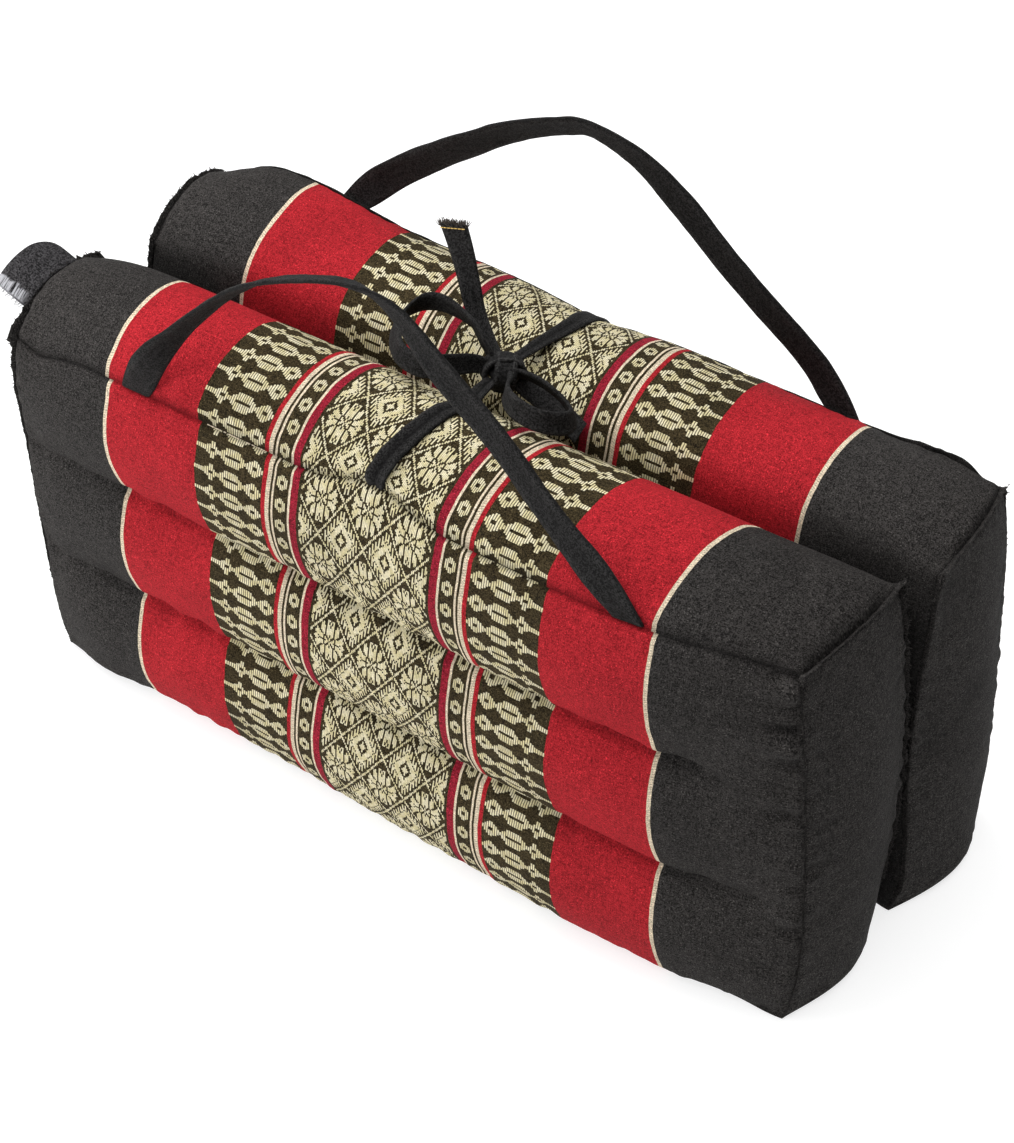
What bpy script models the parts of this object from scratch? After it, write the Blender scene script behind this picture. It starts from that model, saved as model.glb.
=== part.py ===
"""Folding meditation cushion, tied shut.

Two filled blocks stand side by side on their long edges, joined along the fold by a strip of cloth. Each
block has three stuffed rolls on its faces, a crowned top strip and raised end seams. A carry strap is sewn
into each outer top seam, and two tapes are tied in a bow over the valley between the blocks.

Metres, +Z up. X runs along the blocks, Y from the near block to the far one. The origin lies on the surface
that the cushion stands on, below its middle.
"""

import math

import bmesh
import bpy
from mathutils import Vector

MM = 0.001

# Driving sizes of one block, between its seams.
LENGTH = 0.400
THICKNESS = 0.0675
TOP_SEAM_Z = 0.1966
BOTTOM_SEAM_Z = 0.0045
VALLEY_GAP = 0.010
END_SHIFT = 0.0088
CENTRE_Y = 0.004
# Moves everything so that the origin lies below the middle.
TO_MIDDLE = Vector((0.0042, 0.0010, 0.0))

# How far the filling pushes the cloth out past the seams.
OUTER_ROLL = 0.0095
INNER_ROLL = 0.0048
CROWN = {"near": 0.021, "far": 0.0120}
END_BELLY = 0.010
FOOT_BELLY = 0.95
END_EDGE_BOW = {("near", "left"): 0.0015, ("near", "right"): 0.0040, ("far", "left"): 0.0010, ("far", "right"): 0.0}
END_CROWN = {("near", "left"): 0.20, ("near", "right"): -0.10, ("far", "left"): 0.20, ("far", "right"): 0.0}
ROLLS = 3
ROLL_SHARPNESS = 0.8
CROWN_ROUNDNESS = 0.66
END_ROUNDNESS = 0.7
# Share of the length at each end where the corners and end seams are drawn.
END_REACH = 0.12
# Share of the outer face's bow that the inner seam follows.
INNER_BOW = 0.35

# Outward bow of the outer face in mm, by the place along the block from its left end.
FACE_BOW = {
    "near": ((0.00, 0.0), (0.15, 2.5), (0.36, 4.5), (0.50, 7.5), (0.73, 10.5), (0.86, 9.5), (1.00, 0.0)),
    "far": ((0.00, 0.0), (0.50, 1.0), (1.00, 0.0)),
}

# How the filling and the way it stands pull a block out of square: end, side and level, then the shift in mm
# along X, outward and along Z. The first table leans the whole block, the second moves its corners alone.
LEAN = {
    "near": (
        ("left", "outer", "top", 1.0, 0.0, -4.0),
        ("left", "inner", "top", -1.0, 4.0, -2.5),
        ("left", "outer", "bottom", 2.0, -3.0, 0.0),
        ("right", "outer", "bottom", 3.0, 3.5, 0.0),
        ("right", "outer", "top", -4.0, -1.0, 2.0),
        ("right", "inner", "top", 3.0, -1.0, -1.0),
        ("right", "inner", "bottom", 5.0, -1.0, 0.0),
    ),
    "far": (
        ("left", "inner", "top", 5.0, 2.5, 0.0),
        ("left", "outer", "top", 0.0, -2.5, 2.5),
        ("right", "inner", "top", 5.0, 3.0, 0.5),
        ("right", "outer", "top", 0.0, 0.0, -3.0),
        ("right", "inner", "bottom", -2.0, 0.5, 0.0),
        ("right", "outer", "bottom", 2.0, 2.0, 0.0),
    ),
}
CORNERS = {
    "near": (
        ("left", "outer", "top", 3.0, -1.0, -12.0),
        ("left", "inner", "top", 3.0, 0.0, -4.5),
        ("left", "outer", "bottom", 2.0, -1.0, -2.0),
        ("left", "inner", "bottom", 3.0, 0.0, -2.0),
        ("right", "outer", "top", -0.7, -3.0, -2.8),
        ("right", "inner", "top", -2.0, 0.0, 1.0),
        ("right", "outer", "bottom", -5.2, 2.0, -3.6),
        ("right", "inner", "bottom", -5.2, 0.0, -3.9),
    ),
    "far": (
        ("left", "outer", "top", 3.0, -3.0, -9.5),
        ("left", "inner", "top", 3.0, 0.0, -4.0),
        ("left", "outer", "bottom", 3.0, -3.0, -3.0),
        ("left", "inner", "bottom", 3.0, 0.0, -3.0),
        ("right", "outer", "top", -3.0, -3.0, -1.0),
        ("right", "inner", "top", -2.0, 0.0, -1.0),
        ("right", "outer", "bottom", -6.0, -7.0, -3.9),
        ("right", "inner", "bottom", -9.0, -1.0, -4.0),
    ),
}
# The tape pulls the near block's top seam up towards the knot.
TIE_PULL = Vector((0.0, -0.0040, 0.0065))
TIE_PULL_REACH = 0.022
SIDE = {"near": -1.0, "far": 1.0}
LEVELS = {"left": 0.0, "right": 1.0, "inner": 0.0, "outer": 1.0, "bottom": 0.0, "top": 1.0}

# Raised seam allowances.
END_FIN = 0.0028
TOP_FIN = 0.0012

# Planes that divide a block's faces, closer together near the seams.
ALONG_STEPS = (0.006, 0.02, 0.045, 0.08, 0.125, 0.18, 0.24, 0.30, 0.36, 0.42, 0.47)
ACROSS_STEPS = (0.03, 0.09, 0.17, 0.29, 0.42)
ROLL_STEPS = (0.09, 0.26, 0.50, 0.74, 0.91)
FOOT_EDGE = 0.15
FOOT_END = 0.035

# Straps, tapes and the tag.
STRAP_WIDTH = 0.015
STRAP_THICK = 0.0020
STRAP_STEPS = 40
ROOT_SHARE = 0.10
TAPE_WIDTH = 0.011
TAPE_THICK = 0.0022
TAPE_STEPS = 16
CLEAR = 0.0003
KNOT_RADII = Vector((0.0085, 0.0068, 0.0062))
KNOT_PLACE = Vector((0.006, 0.004, 0.2135))

# Feet of each carry strap along X, and its route between them in mm: the middle of the strap, then the way
# that its width points there.
HANDLE_FEET = {"near": (-0.131, 0.123), "far": (-0.124, 0.127)}
HANDLE_ROUTE = {
    "near": (
        (-120.0, -72.5, 215.0, 0.9, 0.0, -0.4),
        (-107.0, -68.0, 234.0, 0.8, 0.1, -0.6),
        (-90.0, -64.0, 254.0, 0.5, 0.4, -0.7),
        (-70.0, -61.0, 271.0, 0.3, 0.6, -0.8),
        (-46.0, -59.0, 283.0, 0.2, 0.6, -0.8),
        (-22.0, -58.0, 290.0, -0.1, 0.6, -0.8),
        (0.0, -58.5, 286.0, -0.4, 0.3, -0.8),
        (23.0, -61.0, 269.0, -0.7, 0.0, -0.6),
        (54.0, -65.0, 247.0, -0.7, 0.0, -0.7),
        (83.0, -70.0, 224.0, -0.8, 0.0, -0.6),
        (106.5, -76.0, 211.5, -0.9, -0.1, -0.35),
    ),
    "far": (
        (-112.6, 80.5, 212.8, 0.9, 0.1, -0.4),
        (-95.4, 80.5, 228.6, 0.7, 0.2, -0.7),
        (-64.8, 80.0, 252.2, 0.4, 0.4, -0.8),
        (-41.0, 80.0, 269.5, 0.3, 0.5, -0.8),
        (-16.0, 80.0, 282.0, 0.1, 0.5, -0.8),
        (0.0, 80.0, 286.5, -0.1, 0.4, -0.8),
        (23.5, 80.0, 280.6, -0.4, 0.2, -0.8),
        (42.0, 80.0, 267.5, -0.6, 0.0, -0.7),
        (62.0, 80.0, 249.7, -0.7, 0.0, -0.7),
        (83.0, 80.0, 232.5, -0.7, 0.0, -0.7),
        (109.0, 80.5, 209.5, -0.9, 0.0, -0.5),
    ),
}

# Each tape's way over its block's crown: place along X in mm, share of the way from the inner seam to the
# outer one, and height over the cloth in mm.
TIE_FEET = {"near": -0.004, "far": 0.006}
TIE_OVER = {
    "near": ((-3.8, 0.985, 1.7), (-3.4, 0.93, 1.7), (-2.4, 0.80, 1.7), (0.0, 0.60, 1.6), (1.4, 0.40, 1.6),
             (3.5, 0.22, 2.0)),
    "far": ((6.0, 0.985, 1.9), (6.0, 0.93, 1.8), (6.0, 0.80, 1.7), (5.6, 0.60, 1.6), (5.2, 0.40, 1.8),
            (5.0, 0.22, 2.6)),
}

# The bow's loops and tails, with the same columns as the carry straps.
LOOP_LEFT = (
    (3.0, 4.0, 216.0, -0.3, -0.3, 1.0),
    (-5.0, 6.0, 222.5, 0.3, -0.3, 0.9),
    (-13.0, 9.5, 227.0, 0.3, -0.5, 0.9),
    (-26.0, 13.0, 228.5, 0.1, -0.6, 0.9),
    (-35.0, 12.5, 228.5, 0.1, -0.6, 0.9),
    (-41.0, 8.0, 226.0, 0.4, -0.3, 1.0),
    (-43.5, 0.0, 223.0, 0.5, 0.1, 1.0),
    (-40.0, -9.0, 222.0, 0.4, 0.4, 1.0),
    (-30.0, -19.0, 223.5, 0.1, 0.4, 1.0),
    (-17.0, -21.5, 224.5, -0.1, 0.3, 1.0),
    (-9.0, -13.0, 222.5, -0.3, 0.1, 1.0),
    (-4.0, -3.0, 218.5, -0.3, 0.1, 1.0),
    (2.0, 2.0, 215.0, -0.3, 0.1, 1.0),
)
LOOP_RIGHT = (
    (9.0, 4.0, 214.5, 0.0, -0.3, 1.0),
    (17.0, 4.0, 216.5, 0.0, -0.4, 1.0),
    (28.0, 2.0, 217.5, 0.0, -0.4, 1.0),
    (39.0, -1.5, 217.0, 0.1, -0.4, 1.0),
    (48.0, -7.5, 217.5, -0.2, -0.1, 1.0),
    (49.0, -15.5, 220.0, -0.3, 0.3, 1.0),
    (41.0, -21.5, 222.5, 0.0, 0.4, 1.0),
    (29.0, -20.5, 223.0, 0.0, 0.4, 1.0),
    (19.0, -13.0, 220.0, 0.1, 0.3, 1.0),
    (14.0, -4.0, 216.5, 0.2, 0.1, 1.0),
    (9.0, 2.0, 214.5, 0.2, 0.1, 1.0),
)
TAIL_UP = (
    (4.0, 6.0, 214.5, 0.6, 0.7, 0.0),
    (-6.0, 15.0, 220.5, 0.8, 0.5, 0.0),
    (-16.0, 23.0, 228.5, 0.9, 0.4, 0.1),
    (-26.0, 28.0, 238.0, 0.9, 0.2, 0.2),
    (-33.0, 30.0, 247.0, 0.9, 0.1, 0.3),
    (-37.0, 31.0, 253.0, 0.9, 0.0, 0.3),
)
TAIL_VALLEY = (
    (9.0, 4.5, 212.5, 0.0, 1.0, 0.3),
    (17.0, 5.5, 208.0, 0.1, 1.0, 0.3),
    (27.0, 6.0, 204.5, 0.0, 1.0, 0.3),
    (36.0, 5.5, 200.5, 0.0, 1.0, 0.3),
    (43.0, 5.0, 196.5, 0.0, 1.0, 0.4),
)

# The strip that joins the blocks.
HINGE_REACH = 0.165
HINGE_SAG = 0.0015
HINGE_THICK = 0.0011

# The tag's place along the left end seam, from the inner corner to the outer one, and its own size.
LABEL_SPAN = (0.23, 0.69)
LABEL_REACH = 0.018
LABEL_THICK = 0.0016
LABEL_LIFT = math.radians(22.0)

COLOURS = {
    "cloth_red": (0.48, 0.03, 0.04),
    "cloth_black": (0.045, 0.043, 0.041),
    "tag_black": (0.03, 0.03, 0.03),
}


def clear_scene():
    """Start from an empty scene."""
    for old in list(bpy.data.objects):
        bpy.data.objects.remove(old, do_unlink=True)


def material(name):
    """A plain cloth of one colour."""
    cloth = bpy.data.materials.new(name)
    cloth.use_nodes = True
    shader = cloth.node_tree.nodes["Principled BSDF"]
    shader.inputs["Base Color"].default_value = (*COLOURS[name], 1.0)
    shader.inputs["Roughness"].default_value = 0.85
    shader.inputs["Metallic"].default_value = 0.0
    return cloth


def add_object(name, mesh, cloth, parts):
    """Put a finished mesh in the part's collection with its cloth."""
    mesh.materials.append(cloth)
    piece = bpy.data.objects.new(name, mesh)
    parts.objects.link(piece)
    return piece


def sliced_cube(cuts):
    """A unit cube from 0 to 1, cut by planes at the given places along each axis."""
    lattice = bmesh.new()
    bmesh.ops.create_cube(lattice, size=1.0)
    bmesh.ops.translate(lattice, verts=lattice.verts, vec=(0.5, 0.5, 0.5))
    for axis, places in enumerate(cuts):
        normal = Vector((0.0, 0.0, 0.0))
        normal[axis] = 1.0
        for place in places:
            geometry = lattice.verts[:] + lattice.edges[:] + lattice.faces[:]
            bmesh.ops.bisect_plane(lattice, geom=geometry, plane_co=normal * place, plane_no=normal)
    return lattice


def mesh_of(lattice, name):
    """Close a bmesh into a mesh with smooth faces and sharp seams."""
    bmesh.ops.triangulate(lattice, faces=lattice.faces)
    bmesh.ops.recalc_face_normals(lattice, faces=lattice.faces)
    bmesh.ops.translate(lattice, verts=lattice.verts, vec=TO_MIDDLE)
    mesh = bpy.data.meshes.new(name)
    lattice.to_mesh(mesh)
    lattice.free()
    mesh.shade_smooth()
    mesh.set_sharp_from_angle(angle=math.radians(50.0))
    return mesh


def mirrored(steps):
    """Steps from one edge to the middle, repeated from the other edge."""
    return sorted(set(steps) | {1.0 - step for step in steps})


def between(table, place):
    """Read a value from rows of place and value, with a straight line between rows."""
    for (start, low), (end, high) in zip(table, table[1:]):
        if place <= end:
            share = (place - start) / (end - start)
            return low + (high - low) * share
    return table[-1][1]


def smooth(low, high, value):
    """Go from 0 at low to 1 at high without a corner."""
    share = min(1.0, max(0.0, (value - low) / (high - low)))
    return share * share * (3.0 - 2.0 * share)


def fullness(along):
    """How full the filling is: 1 over most of the length, 0 at the end seams."""
    return max(0.0, 1.0 - abs(2.0 * along - 1.0) ** 7) ** 0.6


def roll_bulge(up):
    """Profile of the rolls on a face: full in the middle of a roll, 0 at the channels and seams."""
    return abs(math.sin(ROLLS * math.pi * up)) ** ROLL_SHARPNESS


def block_point(block, along, outward, up):
    """Place of a point of the unit cube on a filled block: left to right, inner to outer, bottom to top."""
    side = SIDE[block]
    height = TOP_SEAM_Z - BOTTOM_SEAM_Z
    start_x = -LENGTH / 2 + side * END_SHIFT / 2
    x = start_x + along * LENGTH
    y = VALLEY_GAP / 2 + outward * THICKNESS
    z = BOTTOM_SEAM_Z + up * height
    full = fullness(along)
    end = (block, "left" if along < 0.5 else "right")

    bow = between(FACE_BOW[block], along) * MM
    y += bow * (INNER_BOW + (1.0 - INNER_BOW) * outward)
    if outward == 1.0:
        y += OUTER_ROLL * roll_bulge(up) * full
    if outward == 0.0:
        y -= (INNER_ROLL * roll_bulge(up) + INNER_BOW * bow) * full
    if up == 1.0:
        spread = 1.0 - (2.0 * outward - 1.0) ** 2
        z += CROWN[block] * spread ** CROWN_ROUNDNESS * (END_CROWN[end] + (1.0 - END_CROWN[end]) * full)
    if up == 0.0:
        rim = smooth(0.0, FOOT_EDGE, min(outward, 1.0 - outward))
        z -= BOTTOM_SEAM_Z * rim * smooth(0.0, FOOT_END, min(along, 1.0 - along))
    near_end = smooth(END_REACH, 0.0, min(along, 1.0 - along))
    x_side = 0.0
    if along in (0.0, 1.0):
        x_side = 2.0 * along - 1.0
        lift = math.sin(math.pi * up) ** END_ROUNDNESS
        if up < 0.5:
            lift = FOOT_BELLY + (1.0 - FOOT_BELLY) * lift
        belly = math.sin(math.pi * outward) * lift
        x += x_side * END_BELLY * belly
    elif up == 0.0:
        x += math.copysign(END_BELLY, along - 0.5) * FOOT_BELLY * math.sin(math.pi * outward) * near_end
    x += math.copysign(END_EDGE_BOW[end], along - 0.5) * math.sin(math.pi * up) * near_end

    shift = Vector((0.0, 0.0, 0.0))
    places = (along, outward, up)
    for *names, dx, dy, dz in LEAN[block]:
        weight = 1.0
        for here, name in zip(places, names):
            weight *= here if LEVELS[name] == 1.0 else 1.0 - here
        shift += Vector((dx, dy, dz)) * MM * weight
    corner = near_end ** 2 * abs(2.0 * up - 1.0) ** 6 * abs(2.0 * outward - 1.0) ** 2
    for *names, dx, dy, dz in CORNERS[block]:
        if all((here > 0.5) == (LEVELS[name] == 1.0) for here, name in zip(places, names)):
            shift += Vector((dx, dy, dz)) * MM * corner
    if block == "near":
        reach = (x - TIE_FEET[block]) / TIE_PULL_REACH
        shift += TIE_PULL * math.exp(-reach * reach) * outward ** 8 * up ** 6
    x += shift.x
    y += shift.y
    z += shift.z

    rim_across = outward in (0.0, 1.0)
    if x_side and (rim_across or up == 1.0):
        x += x_side * END_FIN
    if x_side and outward == 1.0:
        y += END_FIN / 2
    if x_side and up == 1.0:
        z += END_FIN
    if up == 1.0 and outward == 1.0:
        y += TOP_FIN
        z += TOP_FIN
    return Vector((x, CENTRE_Y + side * y, max(z, 0.0)))


def filled_block(block, cloth, parts):
    """One filled block: rolls on both faces, crowned top, flat foot and drawn-in corners."""
    roll_planes = []
    for roll in range(ROLLS):
        roll_planes += [(roll + step) / ROLLS for step in ROLL_STEPS]
        roll_planes.append((roll + 1.0) / ROLLS)
    cuts = (mirrored(ALONG_STEPS), mirrored(ACROSS_STEPS), roll_planes[:-1])
    lattice = sliced_cube(cuts)
    for vert in lattice.verts:
        along, outward, up = (round(value, 6) for value in vert.co)
        vert.co = block_point(block, along, outward, up)
    name = "block_" + block
    return add_object(name, mesh_of(lattice, name), cloth, parts)


def block_share(block, x):
    """Share of a block's length at a place along X."""
    return (x + LENGTH / 2 - SIDE[block] * END_SHIFT / 2) / LENGTH


def over_crown(block, x, outward, lift):
    """A point above a block's top strip, at a height square to the cloth."""
    along = block_share(block, x)
    step = 0.004
    here = block_point(block, along, outward, 1.0)
    edge = block_point(block, along, min(outward + step, 1.0), 1.0)
    inner = block_point(block, along, outward - step, 1.0)
    slope = edge - inner
    square = Vector((0.0, -slope.z, slope.y)).normalized()
    if square.z < 0.0:
        square.negate()
    return here + square * lift


def seam_foot(block, x, thick):
    """Where a strap leaves the outer top seam, lying against its outer side."""
    seam = block_point(block, block_share(block, x), 1.0, 1.0)
    return seam + Vector((0.0, SIDE[block] * (thick / 2 + 2 * CLEAR), 3 * CLEAR))


def curve_point(rows, share):
    """A smooth curve through the rows: its point and the way the width points, at a share of its length."""
    spans = len(rows) - 1
    index = min(int(share * spans), spans - 1)
    t = share * spans - index
    picks = [rows[min(max(index + step, 0), spans)] for step in (-1, 0, 1, 2)]
    values = []
    for before, start, end, after in zip(*picks):
        slope = 0.5 * (end - before)
        bend = before - 2.5 * start + 2.0 * end - 0.5 * after
        twist = 0.5 * (after - before) + 1.5 * (start - end)
        values.append(start + slope * t + bend * t * t + twist * t ** 3)
    return Vector(values[:3]) * MM, Vector(values[3:])


def strap_lattice(rows, width, thick, steps):
    """A flat strap along a route, its edges a little thinner than its middle and its ends cut along the seam."""
    lattice = sliced_cube(([step / steps for step in range(1, steps)], (0.25, 0.75), ()))
    step = 0.5 / steps
    for vert in lattice.verts:
        share, across, over = vert.co
        middle, way = curve_point(rows, share)
        ahead = curve_point(rows, min(1.0, share + step))[0] - curve_point(rows, max(0.0, share - step))[0]
        ahead.normalize()
        way.normalize()
        square = smooth(0.0, ROOT_SHARE, min(share, 1.0 - share))
        way = (way - ahead * way.dot(ahead) * square).normalized()
        face = ahead.cross(way).normalized()
        edge = 0.6 if across in (0.0, 1.0) else 1.0
        vert.co = middle + way * (across - 0.5) * width + face * (over - 0.5) * thick * edge
    return lattice


def row_of(point, way):
    """A route's row from a point in metres and the way the width points there."""
    return (point.x / MM, point.y / MM, point.z / MM, *way)


def handle(block, cloth, parts):
    """A carry strap, both feet in the outer top seam."""
    left, right = (seam_foot(block, x, STRAP_THICK) for x in HANDLE_FEET[block])
    rows = (row_of(left, (1.0, 0.0, 0.0)), *HANDLE_ROUTE[block], row_of(right, (-1.0, 0.0, -0.1)))
    name = "handle_" + block
    lattice = strap_lattice(rows, STRAP_WIDTH, STRAP_THICK, STRAP_STEPS)
    return add_object(name, mesh_of(lattice, name), cloth, parts)


def tie(block, cloth, parts):
    """A tape from the outer top seam over the crown to the knot."""
    side = SIDE[block]
    rows = [row_of(seam_foot(block, TIE_FEET[block], TAPE_THICK), (1.0, 0.0, 0.0))]
    for x, outward, lift in TIE_OVER[block]:
        rows.append(row_of(over_crown(block, x * MM, outward, lift * MM), (1.0, 0.0, 0.0)))
    reach = KNOT_RADII.y + 5 * CLEAR
    rows.append(row_of(KNOT_PLACE + Vector((-5 * CLEAR, side * reach, 0.0)), (1.0, 0.0, 0.0)))
    name = "tie_" + block
    return add_object(name, mesh_of(strap_lattice(rows, TAPE_WIDTH, TAPE_THICK, TAPE_STEPS), name), cloth, parts)


def tie_bow(cloth, parts, guides):
    """The tied ends of both tapes: the knot, two loops and two tails, pressed into one solid."""
    knot = bmesh.new()
    bmesh.ops.create_uvsphere(knot, u_segments=12, v_segments=8, radius=1.0)
    bmesh.ops.scale(knot, verts=knot.verts, vec=KNOT_RADII)
    bmesh.ops.translate(knot, verts=knot.verts, vec=KNOT_PLACE)
    bow = add_object("tie_bow", mesh_of(knot, "tie_bow"), cloth, parts)
    lengths = (("loop_left", LOOP_LEFT, 24), ("loop_right", LOOP_RIGHT, 20), ("tail_up", TAIL_UP, 8),
               ("tail_valley", TAIL_VALLEY, 7))
    for name, rows, steps in lengths:
        lattice = strap_lattice(rows, TAPE_WIDTH, TAPE_THICK, steps)
        piece = add_object(name, mesh_of(lattice, name), cloth, guides)
        piece.hide_render = True
        piece.display_type = "WIRE"
        union = bow.modifiers.new(name, "BOOLEAN")
        union.operation = "UNION"
        union.solver = "EXACT"
        union.use_self = True
        union.object = piece
    return bow


def fold_hinge(cloth, parts):
    """Strip of cloth between the inner bottom seams, following them and sagging a little between them."""
    lattice = sliced_cube(([step / 24 for step in range(1, 24)], (0.2, 0.5, 0.8), ()))
    for vert in lattice.verts:
        along, across, over = vert.co
        x = (2.0 * along - 1.0) * HINGE_REACH
        near = block_point("near", block_share("near", x), 0.0, 0.0)
        far = block_point("far", block_share("far", x), 0.0, 0.0)
        near.y += CLEAR
        far.y -= CLEAR
        seam = near.lerp(far, across)
        drop = CLEAR + HINGE_SAG * math.sin(math.pi * across) + (1.0 - over) * HINGE_THICK
        vert.co = Vector((x, seam.y, seam.z - drop))
    return add_object("fold_hinge", mesh_of(lattice, "fold_hinge"), cloth, parts)


def label(cloth, parts):
    """Folded tag against the left end seam of the near block, with a round fold at its free edge."""
    lattice = sliced_cube(((0.06, 0.25, 0.5, 0.75, 0.94), (0.5,), (0.5,)))
    lean = Vector((-math.cos(LABEL_LIFT), 0.0, math.sin(LABEL_LIFT)))
    face = Vector((math.sin(LABEL_LIFT), 0.0, math.cos(LABEL_LIFT)))
    low, high = LABEL_SPAN
    for vert in lattice.verts:
        across, out, over = vert.co
        seam = block_point("near", 0.0, low + (high - low) * across, 1.0)
        round_off = 1.0 - 0.22 * abs(2.0 * across - 1.0) ** 8 * out
        fold = 1.0 - 0.35 * out
        middle = seam + lean * (1.5 * CLEAR + LABEL_REACH * out * round_off)
        vert.co = middle + face * (over - 0.5) * LABEL_THICK * fold
    return add_object("label", mesh_of(lattice, "label"), cloth, parts)


def build():
    """Make every piece of the cushion."""
    clear_scene()
    parts = bpy.data.collections.new("folding_meditation_cushion")
    guides = bpy.data.collections.new("joined_lengths")
    for group in (parts, guides):
        bpy.context.scene.collection.children.link(group)
    red = material("cloth_red")
    black = material("cloth_black")
    tag = material("tag_black")
    for block in ("near", "far"):
        filled_block(block, red, parts)
        handle(block, black, parts)
        tie(block, black, parts)
    fold_hinge(black, parts)
    tie_bow(black, parts, guides)
    label(tag, parts)


build()
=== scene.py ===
"""Folding meditation cushion, tied shut: cloth, seams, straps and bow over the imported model."""

from functools import partialmethod
from math import copysign, cos, exp, pi, radians, sin, sqrt, tau

import bmesh
import bpy
from mathutils import Matrix, Vector, noise


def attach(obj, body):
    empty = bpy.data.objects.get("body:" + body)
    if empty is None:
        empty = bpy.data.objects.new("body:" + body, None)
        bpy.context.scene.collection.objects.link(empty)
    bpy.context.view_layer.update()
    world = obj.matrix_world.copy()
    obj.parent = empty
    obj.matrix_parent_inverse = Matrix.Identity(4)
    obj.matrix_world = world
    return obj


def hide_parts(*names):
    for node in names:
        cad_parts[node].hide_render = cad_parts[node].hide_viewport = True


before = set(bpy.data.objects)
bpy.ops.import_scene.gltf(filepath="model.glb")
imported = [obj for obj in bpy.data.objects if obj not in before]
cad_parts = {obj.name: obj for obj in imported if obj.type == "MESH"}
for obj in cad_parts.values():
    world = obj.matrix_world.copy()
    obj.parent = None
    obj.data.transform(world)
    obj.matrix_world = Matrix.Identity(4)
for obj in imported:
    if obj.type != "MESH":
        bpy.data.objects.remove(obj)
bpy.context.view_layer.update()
# Without a seed of its own the vector noise would change from run to run.
noise.seed_set(7)

MM = 0.001

# The camera: its place, the picture's right and down, its way of looking and its focal length.
CAMERA_PLACE = Vector((0.6651, -0.891, 1.1642))
CAMERA_RIGHT = Vector((0.8224, 0.5681, -0.0298))
CAMERA_DOWN = Vector((0.376, -0.582, -0.721))
CAMERA_AHEAD = Vector((-0.427, 0.5818, -0.6923))
CAMERA_LENS = 111.6

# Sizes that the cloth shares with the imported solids.
LENGTH = 0.4
THICKNESS = 0.0675
TOP_SEAM_Z = 0.1966
BOTTOM_SEAM_Z = 0.0045
VALLEY_GAP = 0.01
END_SHIFT = 0.0088
CENTRE_Y = 0.004
TO_MIDDLE = Vector((0.0042, 0.001, 0))
OUTER_ROLL = 0.0095
INNER_ROLL = 0.0048
CROWN = {"near": 0.021, "far": 0.012}
END_BELLY = 0.01
FOOT_BELLY = 0.95
END_EDGE_BOW = {("near", "left"): 0.0015, ("near", "right"): 0.004, ("far", "left"): 0.001, ("far", "right"): 0}
END_CROWN = {("near", "left"): 0.2, ("near", "right"): -0.1, ("far", "left"): 0.2, ("far", "right"): 0}
ROLLS = 3
ROLL_SHARPNESS = 0.8
CROWN_ROUNDNESS = 0.66
END_ROUNDNESS = 0.7
END_REACH = 0.12
INNER_BOW = 0.35
FOOT_EDGE = 0.15
FOOT_END = 0.035
# Where the near block's channels die out in the black before the right end seam: height, start and stop.
CHANNEL_ENDS = ((2 / 3, 0.885, 0.945), (1 / 3, 0.945, 0.985))
# Outward bow of the outer face in mm, by the place along the block.
FACE_BOW = {
    "near": ((0, 0), (0.15, 2.5), (0.36, 4.5), (0.5, 7.5), (0.73, 10.5), (0.86, 9.5), (1, 0)),
    "far": ((0, 0), (0.5, 1), (1, 0)),
}
# Left or right, inner or outer, bottom or top; then the shift in mm along X, outward and along Z: first of the
# whole block, then of corners alone.
LEAN = {
    "near": (
        ("LOT", 1, 0, -4), ("LIT", -1, 4, -2.5), ("LOB", 2, -3, 0), ("ROB", 3, 3.5, 0), ("ROT", -4, -1, 2),
        ("RIT", 3, -1, -1), ("RIB", 5, -1, 0),
    ),
    "far": (
        ("LIT", 5, 2.5, 0), ("LOT", 0, -2.5, 2.5), ("RIT", 5, 3, 0.5), ("ROT", 0, 0, -3), ("RIB", -2, 0.5, 0),
        ("ROB", 2, 2, 0),
    ),
}
CORNERS = {
    "near": (
        ("LOT", 3, -1, -12), ("LIT", 3, 0, -4.5), ("LOB", 2, -1, -2), ("LIB", 3, 0, -2),
        ("ROT", -0.7, -3, -2.8), ("RIT", -2, 0, 1), ("ROB", -5.2, 2, -3.6), ("RIB", -5.2, 0, -3.9),
    ),
    "far": (
        ("LOT", 3, -3, -9.5), ("LIT", 3, 0, -4), ("LOB", 3, -3, -3), ("LIB", 3, 0, -3), ("ROT", -3, -3, -1),
        ("RIT", -2, 0, -1), ("ROB", -6, -7, -3.9), ("RIB", -9, -1, -4),
    ),
}
# How far the near tie pulls its seam in mm, and over what reach in m.
TIE_PULL = Vector((0, -4, 6.5))
TIE_PULL_REACH = 0.022
SIDE = {"near": -1, "far": 1}
HIGH_ENDS = "ROT"

# Divisions of the cloth along a block, over a face and over a strip.
ALONG_STEPS = 220
UP_STEPS = 120
OVER_STEPS = 44
# Divisions of a panel, its width and height in m, and how far its lumps stay from its side and its rim.
FACE = (ALONG_STEPS, UP_STEPS), (LENGTH, 0.195, 0.03, 0.05)
STRIP = (ALONG_STEPS, OVER_STEPS), (LENGTH, THICKNESS, 0.03, 0.14)
END = (OVER_STEPS, UP_STEPS), (THICKNESS, 0.195, 0.12, 0.05)
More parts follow.
